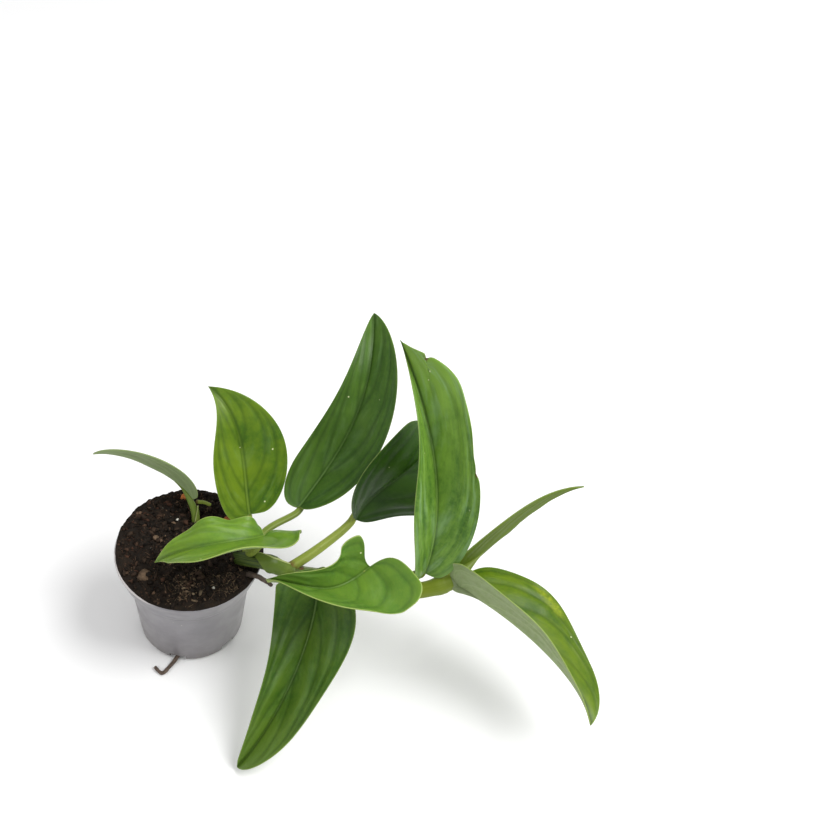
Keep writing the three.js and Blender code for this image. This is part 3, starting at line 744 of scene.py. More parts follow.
def add_tube(net, points, sides, radius_at, up=None, **values):
    """A closed tube. radius_at gives its radius at a share along it and an angle from its upper side."""
    along, first, second = tube_frame(points, up)
    angle = circle(sides)[None]
    share = np.linspace(0, 1, len(points))[:, None]
    radius = radius_at(share, angle) * np.ones((len(points), sides))
    surface = points[:, None] + spokes(first, second, angle) * radius[:, :, None]
    shares = np.broadcast_to(share, radius.shape)
    top = np.broadcast_to(np.cos(angle), radius.shape)
    start = net.add_points(surface, share=shares, top=top, **values)
    net.add_grid(start, len(points), sides, closed=True)
    for end, sign in ((0, -1), (len(points) - 1, 1)):
        ring = start + end * sides
        middle = points[end] + sign * along[end] * radius[end].mean() * END_ROUND
        cap = net.add_points(middle, share=share[end], top=0, **values)
        for side in range(sides):
            pair = (ring + side, ring + (side + 1) % sides)
            net.add_face((cap, *pair[::sign]))


def add_plain_tube(net, points, sides, radius, tone):
    _, first, second = tube_frame(points)
    start = net.add_points(points[:, None] + spokes(first, second, circle(sides)[None]) * radius, tone=tone)
    net.add_grid(start, len(points), sides, closed=True)
    last = start + (len(points) - 1) * sides
    net.add_face(tuple(range(start, start + sides)), flip=True)
    net.add_face(tuple(range(last, last + sides)))


def bell(value, middle, half_width):
    return np.exp(-((value - middle) / half_width) ** 2)


def midrib_thinning(share):
    return 1 - MIDRIB_THINNING * smooth_step(share, MIDRIB_STOPS[0], MIDRIB_STOPS[-1])


def stalk_points(stalk):
    """The axis of a stalk, which ends sunk in the keel of its blade, and the blade's upward direction."""
    leaf = LEAVES[stalk["leaf"]]
    curve = midrib(leaf)

    def under(run, drop):
        place, up, out, share = midrib_frame(leaf, curve, np.array([float(run)]))
        keel = keel_vectors(leaf, up, out, share)[0]
        return place[0] + unit(keel) * (np.linalg.norm(keel) * BLADE_THICKNESS - STALK_SINK + drop)

    if stalk["square"]:
        ends = [under(SQUARE_INSET, SQUARE_INSET), under(SQUARE_INSET, 0)]
    else:
        hang = stalk["drop"] * stalk["radius"][1]
        ends = [under(share * MIDRIB_RUN, hang * midrib_thinning(share)) for share in MIDRIB_STOPS]
    up = midrib_frame(leaf, curve, np.zeros(1))[1][0]
    return centripetal([stalk["foot"], stalk["via"], *ends], STALK_RINGS), up


def add_stalk(net, stalk):
    """A leaf stalk, channelled along its upper side. Gives its axis."""
    points, up = stalk_points(stalk)
    length = np.linalg.norm(np.diff(points, axis=0), axis=1).sum()

    def stalk_at(share, angle):
        angle = np.minimum(angle, 2 * math.pi - angle)
        shape = sum(height * bell(angle, middle, reach) for height, middle, reach in STALK_RELIEF)
        free = np.sin(math.pi * np.clip(share * CHANNEL_RUN, 0, 1)) ** 0.5
        thinned = 1 if stalk["square"] else midrib_thinning(1 - (1 - share) * length / MIDRIB_RUN)
        return mix(*stalk["radius"], share) * thinned * (1 + shape * free)

    add_tube(net, points, STALK_SIDES, stalk_at, up=up, kind=stalk["kind"], tone=stalk["tone"])
    return points


def add_sheath(net, axis, radius_at, sheath):
    """A thin scale round part of a stem. Its pointed free end is pale, and so is one of its sides."""
    rows, columns = SHEATH_ROWS, SHEATH_COLUMNS
    grown = np.linspace(0, 1, rows)
    share = mix(sheath["start"], sheath["end"], grown)
    place = share * (len(axis) - 1)
    _, first, second = tube_frame(axis, up=(0, 0, 1.0))
    centre, first, second = (
        np.stack([np.interp(place, np.arange(len(axis)), values[:, i]) for i in range(3)], 1)
        for values in (axis, first, second))
    wrap = math.radians(sheath["wrap"]) * np.sin(0.5 * math.pi * grown) ** SHEATH_POINT
    side = np.linspace(-1, 1, columns)[None]
    angle = np.radians(mix(*sheath["turn"], smooth_step(grown, 0, 0.5)))[:, None] + wrap[:, None] * side
    grown = grown[:, None]
    reach = radius_at(share)[:, None] + SHEATH_LIFT * mix(1, SHEATH_HUG, grown) * (1 + side ** 2)
    spoke = spokes(first, second, angle)
    pale = SHEATH_PALENESS * np.maximum(side < PALE_SIDE, grown < PALE_TIP)
    values = dict(
        share=np.broadcast_to(share[:, None], angle.shape), top=np.broadcast_to(pale, angle.shape),
        kind=SHEATH, tone=sheath["tone"])
    inner, outer = (net.add_points(centre[:, None] + spoke * (reach + lift)[..., None], **values)
                    for lift in (0, SHEATH_THICKNESS))
    net.add_grid(outer, rows, columns)
    net.add_grid(inner, rows, columns, flip=True)
    for column, flip in ((0, False), (columns - 1, True)):
        net.add_band(outer + column, inner + column, columns, rows - 1, flip)
    for row, flip in ((0, True), (rows - 1, False)):
        net.add_band(outer + row * columns, inner + row * columns, 1, columns - 1, flip)


def trunk_radius(share):
    nodes = sum(height * bell(share, place + beyond, half_width)
                for place in NODE_PLACES for height, beyond, half_width in NODE_RELIEF)
    return mix(*TRUNK_RADIUS, share) + nodes


def make_stem(material):
    net = Net()
    points = centripetal(TRUNK_POINTS, TRUNK_RINGS)

    def trunk_at(share, angle):
        flutes = sum(depth * np.cos(count * angle + twist * share) for depth, count, twist in TRUNK_FLUTES)
        return trunk_radius(share) + flutes

    add_tube(net, points, TRUNK_SIDES, trunk_at, up=(0, 0, 1), kind=TRUNK, tone=0.5)
    add_sheath(net, points, trunk_radius, TRUNK_SHEATH)
    for stalk in STALKS:
        add_stalk(net, stalk)
    dress(net.piece("stems"), material, "stem")


def make_left_shoot(material):
    net = Net()
    points = add_stalk(net, LEFT_SHOOT)
    add_sheath(net, points, lambda share: mix(*LEFT_SHOOT["radius"], share), SHOOT_SHEATH)
    stub = centripetal(STUB["points"], STUB_RINGS)
    add_tube(
        net, stub, THIN_SIDES, lambda share, angle: mix(*STUB["radius"], share), kind=PLAIN_STALK, tone=1)
    dress(net.piece("left_stalk"), material, "left_shoot")


def make_root(name, node, root, material):
    net = Net()
    knot, slow, fast = ROOT_KNOTS
    ridge, count, twist = ROOT_RIDGES

    def root_at(share, angle):
        knots = knot * np.sin(slow * share + 2 * np.cos(angle)) * np.sin(fast * share)
        return mix(*root["radius"], share) * (1 + knots + ridge * np.cos(count * angle + twist * share))

    add_tube(net, centripetal(root["points"], ROOT_RINGS), THIN_SIDES, root_at, tone=root["tone"])
    dress(net.piece(name), material, node)


# Pot

def wall_radius(height):
    """Outer radius of the wall: a tapered body that swells softly into the collar under the rim."""
    body = mix(BODY[0], NECK[0], (height - BODY[1]) / (NECK[1] - BODY[1]))
    up_collar = (height - COLLAR[1]) / (POT_HEIGHT - LIP_HEIGHT - COLLAR[1])
    collar = mix(COLLAR[0], RIM_RADIUS - COLLAR_INSET, up_collar)
    return mix(body, collar, smooth_step(height, *SHOULDER))


def lip_top(radius):
    """Height of the rim's lip, which is round towards the outside."""
    beyond = np.clip((radius - RIM_RADIUS + 0.5 * LIP) / (0.5 * LIP), 0, 1)
    return POT_HEIGHT - 0.5 * LIP_HEIGHT * (1 - math.sqrt(1 - beyond ** 2))


def pot_profile():
    """Outer wall, rim and inner wall as radius and height, from the centre of the underside and back."""
    below, within, above = WALL_STEPS
    heights = np.concatenate([
        np.linspace(BODY[1], SHOULDER[0], below),
        np.linspace(*SHOULDER, within)[1:],
        np.linspace(SHOULDER[1], POT_HEIGHT - LIP_HEIGHT, above)[1:],
    ])
    bevel, bevel_height = FOOT_BEVEL
    out, curve_height = FOOT_CURVE
    outer = [(0, 0), (FOOT_RADIUS - bevel, 0), (FOOT_RADIUS, bevel_height)]
    outer.append((mix(FOOT_RADIUS, BODY[0], out), curve_height))
    outer += [(wall_radius(height), height) for height in heights]
    over_lip = RIM_RADIUS - 0.5 * LIP * (1 - np.cos(np.linspace(0, 0.5 * math.pi, LIP_STEPS)))
    outer += [(radius, lip_top(radius)) for radius in over_lip]
    inner = [(wall_radius(height) - POT_WALL, height) for height in heights[:-1:3]]
    inner[0] = (BODY[0] - POT_WALL, BODY[1] + FLOOR_THICKNESS)
    floor = [(FOOT_RADIUS - POT_WALL + INNER_ROUND, FLOOR_THICKNESS), (0, FLOOR_THICKNESS)]
    return outer + [(RIM_RADIUS - LIP, POT_HEIGHT - LIP_DROP)] + inner[::-1] + floor


def make_pot(material):
    angle = circle(POT_SPOKES)
    rows = [np.stack([radius * np.cos(angle), radius * np.sin(angle), np.full(POT_SPOKES, height)], axis=1)
            for radius, height in pot_profile()]
    net = Net()
    start = net.add_points(np.concatenate(rows))
    net.add_grid(start, len(rows), POT_SPOKES, closed=True)
    piece = net.piece("nursery_pot")
    weld(piece, POT_WELD)
    cut_slots(piece)
    sharpen(piece, CREASE_ANGLE)
    dress(piece, material, "pot")


def cut_slots(piece):
    """Cuts the drain slots out of the foot's edge."""
    cutter = bmesh.new()
    for i in range(SLOT_COUNT):
        turn = math.radians(SLOT_TURN + 360 * i / SLOT_COUNT)
        place = Matrix.Rotation(turn, 4, "Z") @ Matrix.Translation((FOOT_RADIUS * MM, 0, 0))
        size = Matrix.Diagonal((SLOT_DEPTH * MM, SLOT_WIDTH * MM, 2 * SLOT_HEIGHT * MM, 1))
        bmesh.ops.create_cube(cutter, size=1, matrix=place @ size)
    mesh = bpy.data.meshes.new("slots")
    cutter.to_mesh(mesh)
    cutter.free()
    slots = add_object("slots", mesh)
    modifier = piece.modifiers.new("slots", "BOOLEAN")
    modifier.operation = "DIFFERENCE"
    modifier.object = slots
    apply_modifiers(piece)
    bpy.data.objects.remove(slots)
    bpy.data.meshes.remove(mesh)


def sharpen(piece, degrees):
    """Smooth shading that stops at edges sharper than the angle."""
    work = bmesh.new()
    work.from_mesh(piece.data)
    for edge in work.edges:
        edge.smooth = len(edge.link_faces) == 2 and edge.calc_face_angle(0) < math.radians(degrees)
    for face in work.faces:
        face.smooth = True
    work.to_mesh(piece.data)
    work.free()


# Soil

def soil_height(x, y):
    inward = 1 - (math.hypot(x, y) / SOIL_EDGE_RADIUS) ** 2
    lumpy = sum(height * math.sin(along_x * x + along_y * y + start)
                for height, along_x, along_y, start in SOIL_LUMPS)
    back = 0.5 - 0.5 * (x - y) / (math.sqrt(2) * SOIL_EDGE_RADIUS)
    base = SOIL_EDGE_HEIGHT + SOIL_DOME * inward + SOIL_BACK_RISE * back
    return base + SOIL_HEAP * smooth_step(back, *HEAP_FROM) + lumpy * mix(LUMP_AT_EDGE, 1, inward)


def crumbly(x, y):
    place = Vector((x, y, CRUMBLE_SEED))
    return sum(height * noise.fractal(place * rate, *fractal) for height, rate, *fractal in CRUMBLE)


def lip_cover(turn):
    """How far out the soil lies over the rim's lip. More of the lip is bare on the left."""
    reach, swing = SOIL_ON_LIP
    left, depth = BARE_LIP
    place = Vector((math.cos(turn), math.sin(turn), LIP_SEED))
    bare = depth * max(0, math.cos(turn - math.radians(left))) ** 2
    rate, *fractal = LIP_RAGGED
    return min(reach + swing * noise.fractal(place * rate, *fractal) - bare, SOIL_ON_LIP_MOST)


def make_soil(material):
    net = Net()
    foot = POT_HEIGHT - SOIL_DEPTH
    points = []

    def add_ring(radius_at, height_at):
        for turn in circle(SOIL_SPOKES):
            x, y = polar(radius_at(turn), turn)
            points.append((x, y, height_at(x, y)))

    def on_lip(x, y):
        return lip_top(math.hypot(x, y)) + EDGE_LIFT

    def surface(x, y):
        return max(soil_height(x, y) + crumbly(x, y) - SURFACE_DROP, on_lip(x, y) + EDGE_STEP)

    def edge(x, y):
        return mix(on_lip(x, y), surface(x, y), EDGE_BULGE)

    add_ring(lambda turn: wall_radius(foot) - POT_WALL - SOIL_GAP, lambda x, y: foot)
    add_ring(lambda turn: RIM_RADIUS - LIP - SOIL_GAP, lambda x, y: POT_HEIGHT + UNDER_EDGE)
    add_ring(lip_cover, on_lip)
    add_ring(lambda turn: lip_cover(turn) - EDGE_STEP, edge)
    for i in range(SOIL_RINGS):
        inwards = (1 - i / SOIL_RINGS) ** RING_CROWDING
        add_ring(lambda turn: inwards * (lip_cover(turn) - EDGE_WIDTH), surface)
    start = net.add_points(np.array(points), tone=PEAT_TONE)
    rows = len(points) // SOIL_SPOKES
    net.add_grid(start, rows, SOIL_SPOKES, closed=True)
    middle = net.add_points((0, 0, soil_height(0, 0) + crumbly(0, 0)), tone=PEAT_TONE)
    bottom = net.add_points((0, 0, foot), tone=PEAT_TONE)
    last = start + (rows - 1) * SOIL_SPOKES
    for spoke in range(SOIL_SPOKES):
        following = (spoke + 1) % SOIL_SPOKES
        net.add_face((last + spoke, last + following, middle))
        net.add_face((start + following, start + spoke, bottom))
    add_crumbs(net)
    dress(net.piece("potting_soil"), material, "soil")


def ball(level):
    work = bmesh.new()
    bmesh.ops.create_icosphere(work, subdivisions=level, radius=1)
    points = [vertex.co.copy() for vertex in work.verts]
    faces = [[vertex.index for vertex in face.verts] for face in work.faces]
    work.free()
    return points, faces


def add_chunk(net, shape, place, size, tone, chance, stretch, roughness):
    """A lump of the shape, turned, stretched and roughened by chance."""
    points, faces = shape
    turn = Matrix.Rotation(chance.uniform(0, 6.3), 3, "Z")
    turn = turn @ Matrix.Rotation(chance.uniform(-CHUNK_TILT, CHUNK_TILT), 3, "X")
    offset = Vector([chance.uniform(0, 90) for _ in range(3)])
    moved = []
    for point in points:
        rough = 1 + roughness * noise.noise(point * CHUNK_BUMPS + offset)
        local = Vector([a * b * rough * size for a, b in zip(point, stretch)])
        moved.append(tuple(Vector(place) + turn @ local))
    start = net.add_points(moved, tone=tone)
    for face in faces:
        net.add_face(tuple(start + i for i in face))


def add_crumbs(net):
    chance = random.Random(SEED)
    small = ball(1)
    large = ball(2)
    for (x, y, rise), size, tone, stretch in LANDMARKS:
        radius = min(math.hypot(x, y), SOIL_EDGE_RADIUS - LANDMARK_INSET * size)
        x, y = polar(radius, math.atan2(y, x))
        place = (x, y, soil_height(x, y) + rise)
        add_chunk(net, large, place, size, tone, chance, stretch, LANDMARK_ROUGHNESS)
    for _ in range(CRUMBS):
        size = mix(*CRUMB_SIZE, chance.random() ** SMALL_CRUMBS)
        x, y = scattered(SOIL_EDGE_RADIUS + CRUMB_OVERHANG - size, chance)
        place = (x, y, soil_height(x, y) + crumbly(x, y) + CRUMB_RISE * size)
        stretch = [chance.uniform(*limits) for limits in CRUMB_STRETCH]
        add_chunk(net, small, place, size, crumb_tone(x, y, chance), chance, stretch, CRUMB_ROUGHNESS)
    for _ in range(FIBRES):
        add_fibre(net, chance)


def scattered(reach, chance):
    """A place by chance within the reach, spread evenly over the surface."""
    radius = reach * math.sqrt(chance.random())
    return polar(radius, chance.uniform(0, 2 * math.pi))


def crumb_tone(x, y, chance):
    """Mostly peat, with red-brown bark dust on the left and pale crumbs at the middle of the front."""
    pale_x, pale_y, reach, share = PALE_CRUMBS
    if chance.random() < share * math.exp(-((x - pale_x) ** 2 + (y - pale_y) ** 2) / reach ** 2):
        return chance.choice(PALE_TONES)
    share, growth = BARK_DUST
    if chance.random() < share - growth * x:
        return chance.choice(BARK_TONES)
    pick = chance.random()
    return next(tone for limit, tone in CRUMB_TONES if pick < limit)


def add_fibre(net, chance):
    start_inset, least_inset = FIBRE_INSET
    x, y = scattered(SOIL_EDGE_RADIUS - start_inset, chance)
    heading = chance.uniform(0, 2 * math.pi)
    curl = chance.uniform(-FIBRE_CURL, FIBRE_CURL)
    step = chance.uniform(*FIBRE_LENGTH) / FIBRE_STEPS
    tone = chance.choice(LEFT_FIBRE_TONES if x < 0 else RIGHT_FIBRE_TONES)
    if chance.random() < IN_STRAW:
        centre_x, centre_y, reach = chance.choice(STRAW)
        x, y = chance.gauss(centre_x, reach), chance.gauss(centre_y, reach)
        tone = chance.choice(STRAW_TONES)
    points = []
    for i in range(FIBRE_STEPS + 1):
        inside = min(1, (SOIL_EDGE_RADIUS - least_inset) / max(math.hypot(x, y), 1))
        x, y = x * inside, y * inside
        points.append((x, y, soil_height(x, y) + crumbly(x, y) + FIBRE_RISE * (1 + math.sin(i + heading))))
        x += step * math.cos(heading)
        y += step * math.sin(heading)
        heading += curl
    add_plain_tube(net, np.array(points), FIBRE_SIDES, chance.uniform(*FIBRE_RADIUS), tone)


# Materials

class Graph:
    """Builds a material with short calls: coats of colour over each other, then its finish."""

    def __init__(self, name):
        self.material = bpy.data.materials.new(name)
        self.material.use_nodes = True
        self.tree = self.material.node_tree
        self.inputs = self.tree.nodes["Principled BSDF"].inputs
        self.colour = None

    def link(self, source, target):
        if isinstance(source, (int, float)):
            target.default_value = source
        elif isinstance(source, tuple):
            target.default_value = (*source, 1) if len(target.default_value) == 4 else source
        else:
            self.tree.links.new(source, target)

    def node(self, kind, inputs=None, **settings):
        node = self.tree.nodes.new(kind)
        for key, value in settings.items():
            setattr(node, key, value)
        for key, value in (inputs or {}).items():
            self.link(value, node.inputs[key])
        return node

    def attribute(self, name):
        return self.node("ShaderNodeAttribute", attribute_name=name).outputs["Fac"]

    def place(self):
        return self.node("ShaderNodeTexCoord").outputs["Object"]

    def math(self, operation, first, second=0.0):
        return self.node("ShaderNodeMath", {0: first, 1: second}, operation=operation).outputs[0]

    def product(self, *values):
        return functools.reduce(functools.partial(self.math, "MULTIPLY"), values)

    def total(self, *values):
        return functools.reduce(functools.partial(self.math, "ADD"), values)

    def off_vein(self, number, gap, parts):
        """Distance in mm from the nearest line where parts times the number is whole."""
        return self.product(self.math("PINGPONG", self.product(number, parts), 0.5), gap, 1 / parts)

    def step(self, value, low, high, start=0.0, end=1.0):
        limits = {"From Min": low, "From Max": high, "To Min": start, "To Max": end}
        ranged = self.node("ShaderNodeMapRange", {"Value": value, **limits}, interpolation_type="SMOOTHSTEP")
        return ranged.outputs["Result"]

    def mix(self, share, first, second):
        node = self.node("ShaderNodeMix", {"Factor": share, 6: first, 7: second}, data_type="RGBA")
        return node.outputs[2]

    def coat(self, colour, *shares):
        """Lays a colour over what is there, as strongly as the product of the shares says."""
        self.colour = self.mix(self.product(*shares), self.colour, colour)

    def noise(self, scale, detail=2.0, roughness=0.5, place=None):
        return self.node("ShaderNodeTexNoise", {
            "Vector": place or self.place(), "Scale": scale, "Detail": detail, "Roughness": roughness,
        }).outputs["Fac"]

    def flow(self, x, y, z, *noise):
        """Noise that is drawn out along a leaf or a stem, by its own coordinates."""
        return self.noise(*noise, self.node("ShaderNodeCombineXYZ", {"X": x, "Y": y, "Z": z}).outputs[0])

    def cells(self, scale, output="Distance"):
        return self.node("ShaderNodeTexVoronoi", {"Vector": self.place(), "Scale": scale}).outputs[output]

    def specks(self, scale, size, rarity, strength):
        """Round specks in a few of the cells. size and rarity are each where a speck ends and is full."""
        picked = self.node("ShaderNodeSeparateColor", {"Color": self.cells(scale, "Color")}).outputs[0]
        return self.product(self.step(self.cells(scale), *size), self.step(picked, *rarity), strength)

    def ramp(self, value, *stops):
        node = self.node("ShaderNodeValToRGB", {"Fac": value})
        elements = node.color_ramp.elements
        while len(elements) < len(stops):
            elements.new(0.5)
        for element, (place, colour) in zip(elements, stops):
            element.position = place
            element.color = (*colour, 1)
        return node.outputs["Color"]

    def bump(self, height, strength, distance):
        values = {"Height": height, "Strength": strength, "Distance": distance * MM}
        self.link(self.node("ShaderNodeBump", values).outputs["Normal"], self.inputs["Normal"])

    def finish(self, roughness, specular=0.5, scatter=0.0, depth=()):
        """Links the coats. scatter is the share of light that spreads inside, and depth how far, in mm."""
        self.link(self.colour, self.inputs["Base Color"])
        self.link(roughness, self.inputs["Roughness"])
        self.inputs["Specular IOR Level"].default_value = specular
        if scatter:
            self.inputs["Subsurface Weight"].default_value = scatter
            self.inputs["Subsurface Radius"].default_value = tuple(value * MM for value in depth)
            self.inputs["Subsurface Scale"].default_value = 1.0
        return self.material


def shaded(colour, factor, added=0.0):
    return tuple(min(1, factor * value + added) for value in colour)


def leaf_material(number, look):
    graph = Graph(f"leaf_{number}_green")
    vein, gap, margin, ridge, along, left = (
        graph.attribute(name) for name in ("vein", "vein_gap", "margin", "midrib", "along", "left"))
    under = graph.step(graph.attribute("under"), 0.4, 0.6)
    wobble = graph.product(graph.noise(450), VEIN_WOBBLE)
    main = graph.total(graph.off_vein(vein, gap, 1), wobble)
    fine = graph.total(graph.off_vein(vein, gap, FINE_VEINS), wobble)
    mottle = graph.step(graph.noise(380, 4.0, 0.7), 0.38, 0.66)

    streak = graph.step(graph.flow(vein, graph.product(along, 3.0), number, 2.2, 4.0, 0.65), 0.4, 0.65)
    patch = graph.step(graph.noise(60, 3.0, 0.6), 0.36, 0.66)
    # Share of fresh green. Patches and streaks are the leaf's own colour; the lighter left half is painted
    # light, and the lighter tip is partly the tip's own colour and partly painted light.
    lit = graph.total(
        graph.product(patch, look["patches"]), graph.product(streak, look["streaks"]),
        graph.product(graph.step(main, 0.5, 4.0), 0.2),
        graph.product(graph.step(along, 0.45, 1.0), look["tip"]), graph.product(left, look["left"]))
    graph.colour = graph.mix(graph.math("MINIMUM", lit, 1.0), look["deep"], look["fresh"])
    graph.coat(look["fresh"], mottle, look["mottle"])
    # Painted sheen: long pale streaks of painted highlight over the upper side.
    painted_sheen = graph.flow(
        graph.product(vein, 1.6), graph.product(along, 4.0), number + 0.5, 1.3, 3.0, 0.6)
    graph.coat(PAINTED_SHEEN_COLOUR, graph.step(painted_sheen, 0.48, 0.75), look["painted_sheen"])

    dark = shaded(look["deep"], VEIN_DARKNESS)
    inside = graph.product(graph.step(margin, 0.3, 2.5), graph.step(along, 1.0, 0.8))
    graph.coat(dark, graph.step(main, 1.5, 0.1), inside, 0.7 * look["veins"])
    graph.coat(dark, graph.step(fine, 0.6, 0.1), inside, 0.12 * look["veins"])
    # Painted shade in the fold along both sides of the midrib.
    graph.coat(dark, graph.step(ridge, 1.5, 0.4), 0.5)
    rib = graph.product(graph.step(ridge, 0.65, 0.2), graph.step(along, 0.75, 0.1))
    graph.coat(shaded(look["fresh"], 1.3, 0.03), rib, look["rib"])
    if number in BLOTCHES:
        graph.coat(BLOTCH_COLOUR, blotch(graph, BLOTCHES[number], along, left, mottle))
    graph.coat(SPECK_COLOUR, graph.specks(230, (0.1, 0.06), (0.9, 0.92), 0.85))

    upper = graph.colour
    pale = shaded(look["under"], 1.25)
    graph.colour = graph.mix(graph.product(mottle, 0.3), look["under"], look["fresh"])
    graph.coat(pale, streak, 0.25)
    graph.coat(pale, graph.math("MAXIMUM", graph.step(main, 0.7, 0.2), graph.step(ridge, 1.3, 0.6)), 0.5)
    graph.colour = graph.mix(under, upper, graph.colour)
    graph.coat(MARGIN_COLOUR, graph.step(margin, 0.45, 0.12), look["margin"])
    graph.coat(SCAR_COLOUR, graph.step(graph.attribute("scar"), 0.25, 0.6))

    graph.bump(graph.total(
        graph.product(graph.cells(900), 0.3), graph.noise(600, 3.0), graph.product(streak, 0.6)), 0.4, 0.12)
    gloss = graph.mix(under, graph.step(graph.noise(140), 0.3, 0.7, 0.34, 0.48), (0.6, 0.6, 0.6))
    return graph.finish(gloss, LEAF_SPECULAR, 0.12, (0.6, 1.2, 0.3))


def blotch(graph, look, along, left, mottle):
    """How strongly a ragged blotch covers one half of the blade."""
    offsets = (
        graph.product(graph.total(place, -look[name]), 1 / reach) for place, name, reach in
        zip((along, graph.attribute("across")), ("along", "across"), look["reach"]))
    distance = graph.total(*(graph.product(offset, offset) for offset in offsets))
    ragged = graph.total(distance, graph.product(graph.noise(220, 4.0, 0.7), 1.6))
    side = left if look["half"] == 1 else graph.math("SUBTRACT", 1.0, left)
    return graph.product(graph.step(ragged, 1.7, 0.7), side, graph.total(0.4, graph.product(mottle, 0.6)))


def stem_material():
    graph = Graph("stem_green")
    tone, kind, share, top = (graph.attribute(name) for name in ("tone", "kind", "share", "top"))
    streak = graph.flow(graph.product(top, 9), graph.product(share, 5), tone, 1.6, 4.0, 0.6)
    trunk = graph.ramp(
        share, (0.0, (0.02, 0.035, 0.009)), (0.3, (0.035, 0.07, 0.011)), (0.45, (0.1, 0.14, 0.015)),
        (0.7, (0.14, 0.185, 0.013)), (0.86, (0.155, 0.2, 0.013)), (1.0, (0.16, 0.22, 0.02)))
    is_stalk = graph.step(kind, 0.4, 0.6)
    graph.colour = graph.mix(is_stalk, trunk, graph.mix(tone, (0.06, 0.11, 0.014), (0.26, 0.32, 0.055)))
    graph.coat(STREAK_COLOUR, graph.step(streak, 0.4, 0.7), 0.3)
    edge = graph.product(graph.step(top, 0.6, 0.78), graph.step(top, 0.97, 0.86), is_stalk)
    graph.coat(EDGE_COLOUR, edge, graph.step(kind, 1.05, 1.2, 0.15, 0.75))
    ragged = graph.total(share, graph.product(graph.noise(500, 3.0), 0.08))
    graph.coat(NODE_BROWN, graph.step(ragged, 0.14, 0.08), is_stalk, graph.step(kind, 1.2, 1.1), 0.8)
    ring = graph.product(graph.step(ragged, 0.385, 0.395), graph.step(ragged, 0.42, 0.405))
    graph.coat(NODE_BROWN, ring, graph.step(is_stalk, 0.6, 0.4), 0.85)
    graph.coat(BARK_COLOUR, graph.step(graph.noise(260, 4.0, 0.7), 0.62, 0.74), 0.3)
    graph.coat(PALE_STALK_COLOUR, graph.step(kind, 1.4, 1.6))
    graph.bump(graph.total(streak, graph.noise(1100)), 0.25, 0.12)
    return graph.finish(graph.step(streak, 0.3, 0.7, 0.34, 0.48), LEAF_SPECULAR, 0.15, (1.2, 1.6, 0.5))


def root_material():
    graph = Graph("root_brown")
    patches = graph.noise(330, 4.0, 0.65)
    bark = graph.ramp(
        patches, (0.3, (0.03, 0.018, 0.012)), (0.5, (0.085, 0.055, 0.038)), (0.72, (0.22, 0.17, 0.13)))
    graph.colour = graph.mix(graph.attribute("tone"), (0.025, 0.016, 0.011), bark)
    graph.bump(graph.noise(1200, 4.0), 0.6, 0.2)
    return graph.finish(graph.step(patches, 0.3, 0.7, 0.6, 0.85))


def soil_material():
    graph = Graph("potting_soil")
    graph.colour = graph.ramp(
        graph.attribute("tone"), (0.0, (0.009, 0.007, 0.0055)), (0.2, (0.016, 0.0115, 0.008)),
        (0.35, (0.055, 0.034, 0.022)), (0.5, (0.085, 0.034, 0.02)), (0.65, (0.22, 0.165, 0.105)),
        (0.8, (0.45, 0.15, 0.045)), (0.92, (0.17, 0.16, 0.135)), (1.0, (0.7, 0.68, 0.6)))
    grain = graph.noise(900, 5.0, 0.7)
    graph.coat((0.06, 0.035, 0.022), graph.step(grain, 0.45, 0.7), 0.4)
    graph.coat((0.006, 0.005, 0.004), graph.step(graph.noise(240, 3.0), 0.62, 0.4, 0.0, 0.55))
    graph.bump(graph.total(grain, graph.cells(1300)), 0.7, 0.3)
    return graph.finish(graph.step(grain, 0.3, 0.7, 0.62, 0.95), 0.12)


def pot_material():
    graph = Graph("pot_plastic")
    split = graph.node("ShaderNodeSeparateXYZ", {"Vector": graph.place()}).outputs
    height = graph.math("DIVIDE", split["Z"], POT_HEIGHT * MM)
    # Masks of the left and right sides, for the painted light below and for the pale bare lip on the left.
    left = graph.step(split["X"], 0.0, -RIM_RADIUS * MM)
    right = graph.step(split["X"], 0.3 * RIM_RADIUS * MM, 0.8 * RIM_RADIUS * MM)
    graph.colour = graph.ramp(
        height, (0.0, (0.13, 0.115, 0.11)), (0.12, (0.16, 0.148, 0.154)), (0.5, (0.183, 0.175, 0.187)),
        (0.93, (0.2, 0.192, 0.205)))
    # Painted light: the left side is painted lighter and warmer, and the right side lighter, as light reaches
    # them.
    graph.coat((0.3, 0.28, 0.27), left, 0.3)
    graph.coat((0.38, 0.365, 0.38), right, 0.5)
    graph.coat((0.5, 0.47, 0.46), graph.step(height, 0.984, 0.992), graph.step(left, 0.0, 0.3))
    graph.coat((0.42, 0.4, 0.42), graph.step(graph.noise(60, 4.0, 0.6), 0.4, 0.7), 0.16)
    graph.coat((0.11, 0.085, 0.07), graph.step(graph.noise(420, 4.0, 0.75), 0.66, 0.76), 0.35)
    graph.coat((0.6, 0.58, 0.55), graph.specks(300, (0.09, 0.05), (0.92, 0.94), 0.8))
    graph.bump(graph.noise(95), 0.12, 0.4)
    return graph.finish(
        graph.step(graph.noise(140, 3.0), 0.3, 0.7, 0.3, 0.5), scatter=0.2, depth=(3, 2.8, 3))


# Stage

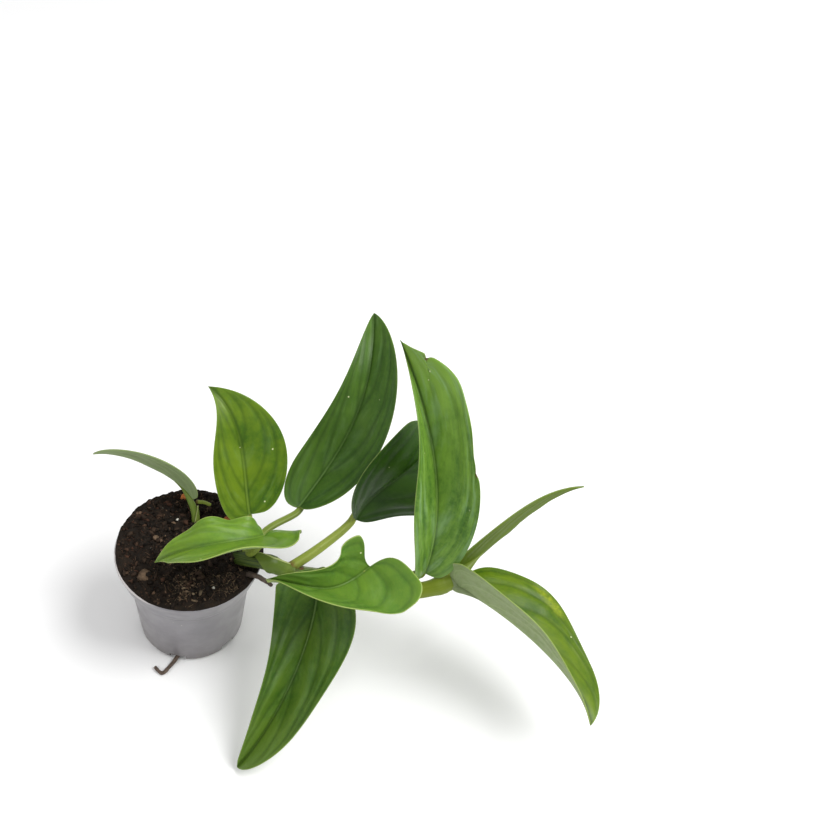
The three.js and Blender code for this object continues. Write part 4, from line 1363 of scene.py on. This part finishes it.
def make_floor():
    net = Net()
    net.add_points([(x, y, 0) for y in (-FLOOR_REACH, FLOOR_REACH) for x in (-FLOOR_REACH, FLOOR_REACH)])
    net.add_grid(0, 2, 2)
    floor = net.piece("floor")
    graph = Graph("floor_paper")
    graph.colour = graph.mix(graph.noise(1.5), (0.9, 0.9, 0.9), (0.93, 0.93, 0.93))
    floor.data.materials.append(graph.finish(0.85))


def make_lights():
    for name, place, size, power in LIGHTS:
        data = bpy.data.lights.new(name, "AREA")
        data.shape = "DISK"
        data.size = size
        data.energy = power
        light = add_object(name, data)
        light.location = place
        light.rotation_euler = (Vector(place) - Vector(LIT_PLACE)).to_track_quat("Z", "Y").to_euler()
    world = bpy.data.worlds.new("studio")
    world.use_nodes = True
    background = world.node_tree.nodes["Background"].inputs
    background["Color"].default_value = (1, 1, 1, 1)
    background["Strength"].default_value = SKY_STRENGTH
    bpy.context.scene.world = world
    bpy.context.scene.view_settings.view_transform = "Standard"


def make_camera():
    pitch = math.radians(CAMERA_PITCH)
    roll = math.radians(CAMERA_ROLL)
    forward = Vector((0, math.cos(pitch), -math.sin(pitch)))
    level = Vector((1, 0, 0))
    raised = level.cross(forward)
    right = math.cos(roll) * level + math.sin(roll) * raised
    above = math.cos(roll) * raised - math.sin(roll) * level
    data = bpy.data.cameras.new("camera")
    data.sensor_width = SENSOR_WIDTH
    data.lens = FOCAL_PIXELS / PICTURE_PIXELS * SENSOR_WIDTH
    data.clip_start = NEAREST
    camera = add_object("camera", data)
    turn = Matrix((right, above, -forward)).transposed()
    camera.matrix_world = Matrix.Translation(Vector(CAMERA_PLACE) * MM) @ turn.to_4x4()
    bpy.context.scene.camera = camera


def main():
    make_camera()
    make_lights()
    make_floor()
    make_pot(pot_material())
    make_soil(soil_material())
    stem = stem_material()
    make_stem(stem)
    make_left_shoot(stem)
    root = root_material()
    make_root("rim_root_fine", "rim_root", RIM_ROOT, root)
    make_root("drain_root_fine", "drain_root", DRAIN_ROOT, root)
    for number, (leaf, look) in enumerate(zip(LEAVES, LEAF_LOOKS), 1):
        make_leaf(number, leaf, leaf_material(number, look))
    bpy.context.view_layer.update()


main()
